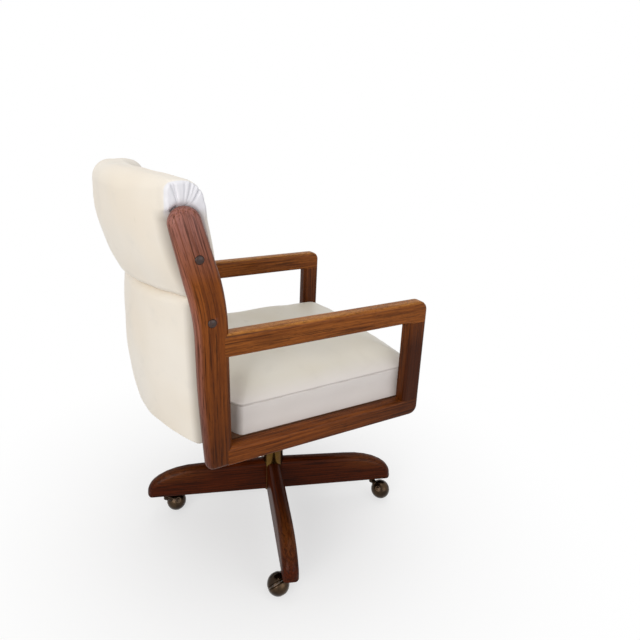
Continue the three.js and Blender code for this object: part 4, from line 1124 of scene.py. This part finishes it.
cushion = {
    "low": railHigh[2] - 7,  # down over the seat board's edge
    "sideHeight": 77.8,
    "frontRise": 6,  # the seam climbs this much to the front
    "crown": 56,
    "crownFullness": 7,  # more makes its shoulders steeper
    "frontEasing": 1.8,  # its fullness falls by this to the front
    "cornerEasing": 4.0,  # and by this in the rear corners
    "crownTilt": 0.2,  # the crown is higher behind by this share of itself
    "overhang": 3,  # past the posts' front faces
    "frontBow": 12,
    "frontRadius": 30, "rearRadius": 16, "leastRadius": 9,
    "straightSteps": 56, "cornerSteps": 18,
    "rearTuck": 39,  # its rear corners stand this much ahead of the back pad's line
    "tuckReach": 64, "tuckPower": 6, "tuckSpread": 1.25,
    "footInset": 0.2, "footFade": 0.16, "footLip": (0.7, 0.006),
    "sideDraw": 2.5, "drawEnd": 0.96,
    "seamDepth": 2.4, "seamSteps": (-1, -0.45, 0, 0.45, 1), "seamMiddle": 0.985, "seamHalf": 0.015,
    "pucker": 0.9, "puckerWaves": (6, 18, 46), "puckerSlant": 0.25, "seamPucker": 0.08,
    "sideReach": 13, "crownReach": 34, "stillReach": 6, "stillShare": 0.95,  # they die out at the seam itself
    "puckerOut": 0.5, "puckerUp": 0.6, "puckerIn": 0.3,
    "ripple": 1.3, "rippleWaves": (7, 90, 240), "rippleOut": 20, "rippleUp": 0.6, "rippleFade": 30,
    "sideRipple": 0.6,
    # painted cool light up to the seam, and a painted dark line of shade along the seam
    "paintedCoolLight": 0.7, "paintedCoolLightFade": 30, "paintedCreaseShade": 0.6, "paintedCreaseShadeReach": 0.9,
}
# the rings' places up the boxing, and from the seam to the middle of the crown
boxingShares = [0.015, 0.04, 0.08, 0.13, 0.19, 0.26, 0.34, 0.42, 0.5, 0.58, 0.66, 0.74, 0.81, 0.87, 0.91,
                0.94]
crownShares = [0.004, 0.01, 0.018, 0.028, 0.04, 0.055, 0.075, 0.1, 0.13, 0.165, 0.205, 0.25, 0.3, 0.355,
               0.415, 0.48, 0.55, 0.625, 0.7, 0.78, 0.86, 0.93, 0.975]


def bell(distance, reach):
    return math.exp(-(distance / reach) ** 2)


def cushionOutline(inset):
    # (x, y, outward x, outward y, share to the rear, share of a rear corner) around the plan, at an inset
    half = softHalfWidth - inset
    front = frameFront - cushion["overhang"] + inset
    rear = float(uprightLine(railHigh[2])[0]) - lowerPad["frontReach"] - softGap - inset
    ahead, behind = (min(half, max(cushion[key] - inset / 2, cushion["leastRadius"]))
                     for key in ("frontRadius", "rearRadius"))
    straight, bend = cushion["straightSteps"], cushion["cornerSteps"]
    rows = []
    corners = [(half - ahead, front + ahead, -90, ahead), (half - behind, rear - behind, 0, behind),
               (-half + behind, rear - behind, 90, behind), (-half + ahead, front + ahead, 180, ahead)]
    for (x, y, angle, radius), (nextX, nextY, _, nextRadius) in zip(corners, corners[1:] + corners[:1]):
        for turn in np.radians(angle + 90 * np.arange(bend) / bend):
            out = (math.cos(turn), math.sin(turn))
            rows.append((x + radius * out[0], y + radius * out[1], *out))
        turn = math.radians(angle + 90)
        out = (math.cos(turn), math.sin(turn))
        for share in np.arange(straight) / straight:
            reach = radius + (nextRadius - radius) * share
            alongX, alongY = x + (nextX - x) * share, y + (nextY - y) * share
            rows.append((alongX + reach * out[0], alongY + reach * out[1], *out))
    shrink = half / softHalfWidth
    placed = []
    for x, y, outX, outY in rows:
        rearShare = (y - front) / (rear - front)
        middleShare = inward(x / shrink)
        bow = rearShare * (lowerPad["frontSag"] - softGap) - (1 - rearShare) * cushion["frontBow"]
        corner = math.sin(math.pi / 2 * min(1, cushion["tuckSpread"] * (1 - middleShare)))
        corner *= rearShare ** cushion["tuckPower"]
        tuck = corner * cushion["rearTuck"] * bell(inset, cushion["tuckReach"])
        placed.append((x, y + shrink * bow * middleShare - tuck, outX, outY, rearShare, corner))
    return placed


def cushionProfile():
    # rows of inset, share over the crown, share up the boxing, and strength of the puckers
    foot, still = cushion["footInset"], cushion["stillReach"]
    lipInset, lipShare = cushion["footLip"]
    rows = [(foot, 0, 0, 0), (foot * lipInset, 0, lipShare, 0)]
    for share in boxingShares:
        low = foot * (1 - min(1, share / cushion["footFade"])) ** 2
        drawn = cushion["sideDraw"] * math.sin(math.pi * min(1, share / cushion["drawEnd"])) ** 2
        below = (1 - share) * cushion["sideHeight"]
        rows.append((low + drawn, 0, share, bell(below, cushion["sideReach"]) - bell(below, still)))
    for step in cushion["seamSteps"]:
        rows.append((cushion["seamDepth"] * (1 - step * step), 0,
                     cushion["seamMiddle"] + cushion["seamHalf"] * step, cushion["seamPucker"]))
    for share in crownShares:
        within = share * softHalfWidth
        near = bell(within, cushion["crownReach"]) - cushion["stillShare"] * bell(within, still)
        rows.append((within, share, 1, near))
    return rows


def cushionGrid():
    waves, puckers = makeWaves(*cushion["rippleWaves"]), makeWaves(*cushion["puckerWaves"])
    out, rise = cushion["rippleOut"], cushion["rippleUp"]
    profile, points = cushionProfile(), []
    for inset, crownShare, upShare, near in profile:
        outline = cushionOutline(inset)
        length = 0
        for j, (x, y, outX, outY, rearShare, corner) in enumerate(outline):
            length += math.dist((x, y), outline[j - 1][:2]) if j else 0
            side = cushion["sideHeight"] + cushion["frontRise"] * (1 - rearShare)
            fullness = cushion["crownFullness"] - cushion["frontEasing"] * (1 - rearShare)
            fullness -= cushion["cornerEasing"] * corner
            lift = cushion["crown"] * (1 - (1 - crownShare) ** fullness)
            z = cushion["low"] + side * upShare + lift * (1 + cushion["crownTilt"] * (rearShare - 0.5))
            swell = cushion["pucker"] * puckers(length, (z + inset) * cushion["puckerSlant"]) * near
            broad = cushion["ripple"] * waves(x + outX * out, y + outY * out + z * rise)
            if crownShare:
                move = swell * cushion["puckerOut"]
                z += swell * cushion["puckerUp"] + broad * min(1, inset / cushion["rippleFade"])
            else:
                fade = math.sin(math.pi * upShare) if upShare > 0 else 0
                move = swell + broad * cushion["sideRipple"] * fade - abs(swell) * cushion["puckerIn"]
            points.append((x + outX * move, y + outY * move, z))
    count = len(points) // len(profile)
    return points, gridFaces(len(profile), count, True) + endFaces(len(points), count)


points, faces = cushionGrid()
piece = addPiece("seat_cushion_vinyl", points, faces, "seatVinyl", "seat", ["seat_cushion"],
                 sharpAngle=meshing["softSharpAngle"])
x, y, z = meshPoints(piece)[0].T
seamRise = cushion["frontRise"] * (1 - ramp(y, frameFront, railHigh[1]))
aboveSeam = z - cushion["low"] - cushion["sideHeight"] - seamRise
# painted cool light on the boxing up to the seam, and a painted dark line of shade along the seam
paint(piece, "paintedCoolLight", cushion["paintedCoolLight"] * np.clip(1 - aboveSeam / cushion["paintedCoolLightFade"], 0, 1))
paint(piece, "paintedCreaseShade", cushion["paintedCreaseShade"] * np.exp(-(aboveSeam / cushion["paintedCreaseShadeReach"]) ** 2))
print("cushion made")


# Cross rails

crossRail = {"edgeRadius": {"front_cross_rail": 4, "rear_cross_rail": 3}, "stations": 48}

for name, edgeRadius in crossRail["edgeRadius"].items():
    low, high = nodeBox(name)
    (middleY, middleZ), (half, halfZ) = (low[1:] + high[1:]) / 2, (high[1:] - low[1:]) / 2
    toRow = lambda a, b, c: np.stack([a, middleY + c, b], axis=1)
    stations = [(x, middleZ, 0, 1, halfZ) for x in np.linspace(low[0], high[0], crossRail["stations"])]
    edges = [([(low[0], z), (high[0], z)], edgeRadius) for z in (low[2], high[2])]
    points, faces = board(stations, edges, half, toRow)
    piece = addPiece(name + "_wood", points, faces, "frameOak", "seat", [name])
    paintGrain(piece, lambda x, y, z: (z, y, x))
print("cross rails made")


# Column

hub = {"radius": 28, "wall": 3.5, "rim": 0.8, "sides": 72}
bearing = {"radius": 26.5, "washer": 1.5, "cageInset": 3, "bore": 0.3}
nut = {"radius": 34, "lobes": 12, "lobeDepth": 2.2, "bevel": 2, "countersink": 1.5}
spindle = {
    "radius": 14, "chamfer": 2, "sides": 40, "sharpAngle": 60,
    "pitch": 3, "threadDepth": 1, "threadSteps": 6, "threadFoot": 6, "threadEnd": 2,
    "threadForm": (1.6, 0.3),  # how steep the flanks are, and how broad the crest
}
pin = {"radius": 8, "headRadius": 11, "head": 4, "rim": 0.6, "bevel": 1.2}
spring = {"wire": 3, "turns": 6, "pitch": 11, "gap": 0.5, "steps": 28, "sides": 12}
knob = {
    "radius": 18, "lobes": 6, "lobeDepth": 1.6, "bevel": 3, "height": 24,
    "dish": [(0, 1, 0), (8, 1, 0), (9, 0, 0.2)],  # radius, height and share of the lobes
    "rodRadius": 5, "fillet": (2, 0.6), "rodChamfer": 1,
}


def addLobed(name, rings, look, centre, material, body, node):
    # rings are (radius, height, share of the lobes' depth) from one end to the other
    lobes, count = look["lobes"], look["lobes"] * meshing["lobeSides"]
    points = []
    for radius, z, share in rings:
        for i in range(count):
            angle = 2 * math.pi * i / count
            r = radius - share * look["lobeDepth"] * (1 - math.cos(lobes * angle)) / 2
            points.append((centre[0] + r * math.cos(angle), centre[1] + r * math.sin(angle), z))
    addPiece(name, points, gridFaces(len(rings), count, True), material, body, [node])


def bevelled(look, low, high):
    # the outside of a disc with rounded rims
    turns, bevel = np.radians(np.linspace(0, 90, meshing["bevelSteps"] + 1)), look["bevel"]
    inner, foot = look["radius"] - bevel, low + bevel
    rings = [(inner + bevel * math.sin(turn), foot - bevel * math.cos(turn), 1) for turn in turns]
    return rings + [(r, low + high - z, share) for r, z, share in reversed(rings)]


def makeColumn():
    outer, rim = hub["radius"], hub["rim"]
    inner = outer - hub["wall"]
    low, high = levels("base_hub")
    profile = [(inner, low), (outer - rim, low), (outer, low + rim), (outer, high - rim), (outer - rim, high),
               (inner + rim, high), (inner, high - rim), (inner, low)]
    addTurned("hub_tube", profile, (0, 0, 0), up, "brass", "base", "base_hub", hub["sides"])
    low, high = levels("thrust_bearing")
    outer, inner, washer = bearing["radius"], spindle["radius"] + bearing["bore"], bearing["washer"]
    cage = outer - bearing["cageInset"]
    profile = [(inner, low), (outer, low), (outer, low + washer), (cage, low + washer), (cage, high - washer),
               (outer, high - washer), (outer, high), (inner, high), (inner, low)]
    addTurned("bearing_race", profile, (0, 0, 0), up, "steel", "swivel", "thrust_bearing", hub["sides"])
    low, high = levels("height_nut")
    sink = nut["countersink"]
    rings = [(inner, low, 0), *bevelled(nut, low, high), (inner + sink, high, 0), (inner, high - sink, 0),
             (inner, low, 0)]
    addLobed("height_nut_ring", rings, nut, (0, 0), "blackSteel", "swivel", "height_nut")
    makeSpindle()
    pinLow, pinHigh = nodeBox("pivot_pin")
    y, z = (pinLow[1] + pinHigh[1]) / 2, (pinLow[2] + pinHigh[2]) / 2
    end, headRadius, rim, bevel = pinHigh[0], pin["headRadius"], pin["rim"], pin["bevel"]
    head = end - pin["head"]
    half = [(pin["radius"], head), (headRadius - rim, head), (headRadius, head + rim),
            (headRadius, end - bevel), (headRadius - bevel, end), (0, end)]
    profile = [(r, -x) for r, x in reversed(half)] + half
    addTurned("pivot_pin_turned", profile, (0, y, z), (1, 0, 0), "steel", "column", "pivot_pin")
    makeSpring(y, z)
    low, high = nodeBox("tension_knob")
    rod, rodTop, top = knob["rodRadius"], high[2], low[2] + knob["height"]
    (filletOut, filletUp), chamfer = knob["fillet"], knob["rodChamfer"]
    rings = [(r, low[2] + z, share) for r, z, share in knob["dish"]]
    rings += bevelled(knob, low[2], top)
    rings += [(rod + filletOut, top, 0), (rod, top + filletUp, 0), (rod, rodTop - chamfer, 0),
              (rod - chamfer, rodTop, 0), (0, rodTop, 0)]
    addLobed("tension_knob_grip", rings, knob, (0, (low[1] + high[1]) / 2), "blackPlastic", "tension_knob",
             "tension_knob")


def makeSpindle():
    low, high = levels("spindle")
    radius, chamfer, count, pitch = (spindle[key] for key in ("radius", "chamfer", "sides", "pitch"))
    slope, flat = spindle["threadForm"]
    threadLow, threadHigh = low + spindle["threadFoot"], levels("tilt_housing")[0] - spindle["threadEnd"]
    rings = [(0, low), (radius - chamfer, low), (radius, low + chamfer)]
    rings += [(radius, z) for z in np.arange(threadLow, threadHigh, pitch / spindle["threadSteps"])]
    rings += [(radius, high - chamfer), (radius - chamfer, high), (0, high)]
    points = []
    for rim, z in rings:
        for turn in np.arange(count) / count:
            r = rim
            if threadLow <= z < threadHigh:
                phase = ((z - threadLow) / pitch - turn) % 1
                r -= spindle["threadDepth"] * min(1, max(0, slope * (1 - abs(2 * phase - 1)) - flat))
            points.append((r * math.cos(2 * math.pi * turn), r * math.sin(2 * math.pi * turn), z))
    addPiece("spindle_screw", points, gridFaces(len(rings), count, True), "steel", "column", ["spindle"],
             sharpAngle=spindle["sharpAngle"])


def sweep(path, radii, count):
    # rings square to a path, each with its own radius
    path = np.array(path, float)
    ahead = np.gradient(path, axis=0)
    ahead /= np.linalg.norm(ahead, axis=1)[:, None]
    points = []
    side = np.cross(ahead[0], up if abs(ahead[0][2]) < 0.9 else (1, 0, 0))
    for place, direction, radius in zip(path, ahead, radii):
        side = unit(side - direction * side.dot(direction))
        other = np.cross(direction, side)
        for turn in np.linspace(0, 2 * math.pi, count, endpoint=False):
            points.append(place + radius * (math.cos(turn) * side + math.sin(turn) * other))
    return points, gridFaces(len(path), count, True) + endFaces(len(points), count)


def makeSpring(y, z):
    wire, turns = spring["wire"], spring["turns"]
    coil = pin["radius"] + spring["gap"] + wire
    path = []
    for share in np.linspace(0, 1, turns * spring["steps"] + 1):
        angle = 2 * math.pi * turns * share
        x = spring["pitch"] * turns * (share - 0.5)
        path.append((x, y + coil * math.cos(angle), z + coil * math.sin(angle)))
    points, faces = sweep(path, [wire] * len(path), spring["sides"])
    addPiece("tension_spring_wire", points, faces, "steel", "column", ["tension_spring"])


makeColumn()
print("column made")


# Casters

ballHalf = {
    "radius": 26.5, "split": 0.6, "lipInsets": (3, 0.8), "poleSteps": 40, "sides": 64,
    "groove": (3.2, 4.6), "grooveDepth": 1.1,  # from the split's middle
    "capRadius": 7, "capDepth": 0.5,
}
hood = {
    "collarRadius": 8.5, "collarDepth": 17, "collarGap": 0.3, "collarChamfer": 2, "collarRim": 0.6,
    "groove": [(0, 6), (1, 5.4), (1, 4.6), (0, 4)],  # depth, and how far below the collar's top
    "stemRadius": 5.5, "stemLength": 36, "stemChamfer": 2, "stemSides": 40,
    "neckRadius": 7.5, "neckStart": 7, "neckReach": 15, "neckAim": (0.55, 0.83), "neckArch": 3.5,
    "neckSteps": 12, "neckSides": 28, "neckTaper": (0.9, 0.35),
}
socket = {"flangeRadius": 12, "flangeRim": 0.5, "flangeHeight": 1.5, "radius": 7.7, "gap": 0.3}


def ballProfile(side):
    # from the split to the pole, with a rolled rim, a groove and a small cap at the pole
    radius, split, steps = (ballHalf[key] for key in ("radius", "split", "poleSteps"))
    start, (grooveLow, grooveHigh) = math.asin(split / radius), ballHalf["groove"]
    rows = [(0, side * split)] + [(radius - inset, side * split) for inset in ballHalf["lipInsets"]]
    for i in range(steps + 1):
        angle = start + (math.pi / 2 - start) * i / steps
        r = radius
        if grooveLow < radius * math.sin(angle) < grooveHigh:
            r -= ballHalf["grooveDepth"]
        if r * math.cos(angle) < ballHalf["capRadius"]:
            r -= ballHalf["capDepth"]
        rows.append((0 if i == steps else r * math.cos(angle), side * r * math.sin(angle)))
    return rows


def makeCaster(index):
    ball, stem = jointPlace(f"caster_roll_{index}"), jointPlace(f"caster_swivel_{index}")
    axis = np.array(joints[f"caster_roll_{index}"]["axis"], float)
    addTurned(f"caster_{index}_rolling_half", ballProfile(1), ball, axis, "bronze", f"ball_{index}",
              f"caster_ball_{index}", ballHalf["sides"])
    low, high = levels(f"caster_socket_{index}")
    collarTop = low - hood["collarGap"]
    collarLow, stemTop = collarTop - hood["collarDepth"], collarTop + hood["stemLength"]
    collar, rod, rim = hood["collarRadius"], hood["stemRadius"], hood["collarRim"]
    chamfer, stemChamfer = hood["collarChamfer"], hood["stemChamfer"]
    profile = [(0, collarLow), (collar - chamfer, collarLow), (collar, collarLow + chamfer)]
    profile += [(collar - depth, collarTop - drop) for depth, drop in hood["groove"]]
    profile += [(collar, collarTop - rim), (collar - rim, collarTop), (rod, collarTop),
                (rod, stemTop - stemChamfer), (rod - stemChamfer, stemTop), (0, stemTop)]
    base = (stem[0], stem[1], 0)
    back = unit(np.array((stem[0] - ball[0], stem[1] - ball[1], 0)))
    start = np.array((stem[0], stem[1], collarLow + hood["neckStart"]))
    toStem, toHood = hood["neckAim"]
    end = ball + hood["neckReach"] * (back * toStem - axis * toHood)  # the hood lies against the axis
    shares = np.linspace(0, 1, hood["neckSteps"])
    arch = np.array((0, 0, hood["neckArch"]))
    path = [start + (end - start) * s + arch * math.sin(math.pi * s) for s in shares]
    slim, widening = hood["neckTaper"]
    radii = [hood["neckRadius"] * (slim + widening * s * s) for s in shares]
    points, faces = [], []
    for morePoints, moreFaces in (revolved(ballProfile(-1), ball, axis, ballHalf["sides"]),
                                  revolved(profile, base, up, hood["stemSides"]),
                                  sweep(path, radii, hood["neckSides"])):
        faces += [tuple(i + len(points) for i in face) for face in moreFaces]
        points += list(morePoints)
    addPiece(f"caster_{index}_hood", points, faces, "bronze", f"caster_{index}", [f"caster_hood_{index}"])
    flange, rim, flangeTop = socket["flangeRadius"], socket["flangeRim"], low + socket["flangeHeight"]
    outer, bore = socket["radius"], rod + socket["gap"]
    profile = [(bore, low), (flange - rim, low), (flange, low + rim), (flange, flangeTop), (outer, flangeTop),
               (outer, high), (bore, high), (bore, low)]
    addTurned(f"caster_{index}_socket", profile, base, up, "brass", "base", f"caster_socket_{index}",
              hood["stemSides"])


for index in range(1, 5):
    makeCaster(index)
print("casters made")


# CAD pieces that keep their own shape

keptNodes = {
    "nylon": ["spindle_bush"],
    "blackSteel": ["tilt_housing", "seat_iron"],
    "plywood": ["seat_board", "upper_back_panel", "lower_back_panel"],
    "steel": [f"leg_bolt_{i}" for i in range(1, 5)] + [f"plate_screw_{i}" for i in range(1, 5)]
    + [f"back_bolt_{side}_{level}" for side in sides for level in plug["places"]],
}
for name, nodes in keptNodes.items():
    for node in nodes:
        kept = bpy.data.objects[node]
        kept.data.materials.clear()
        kept.data.materials.append(materials[name])
print("kept pieces finished")
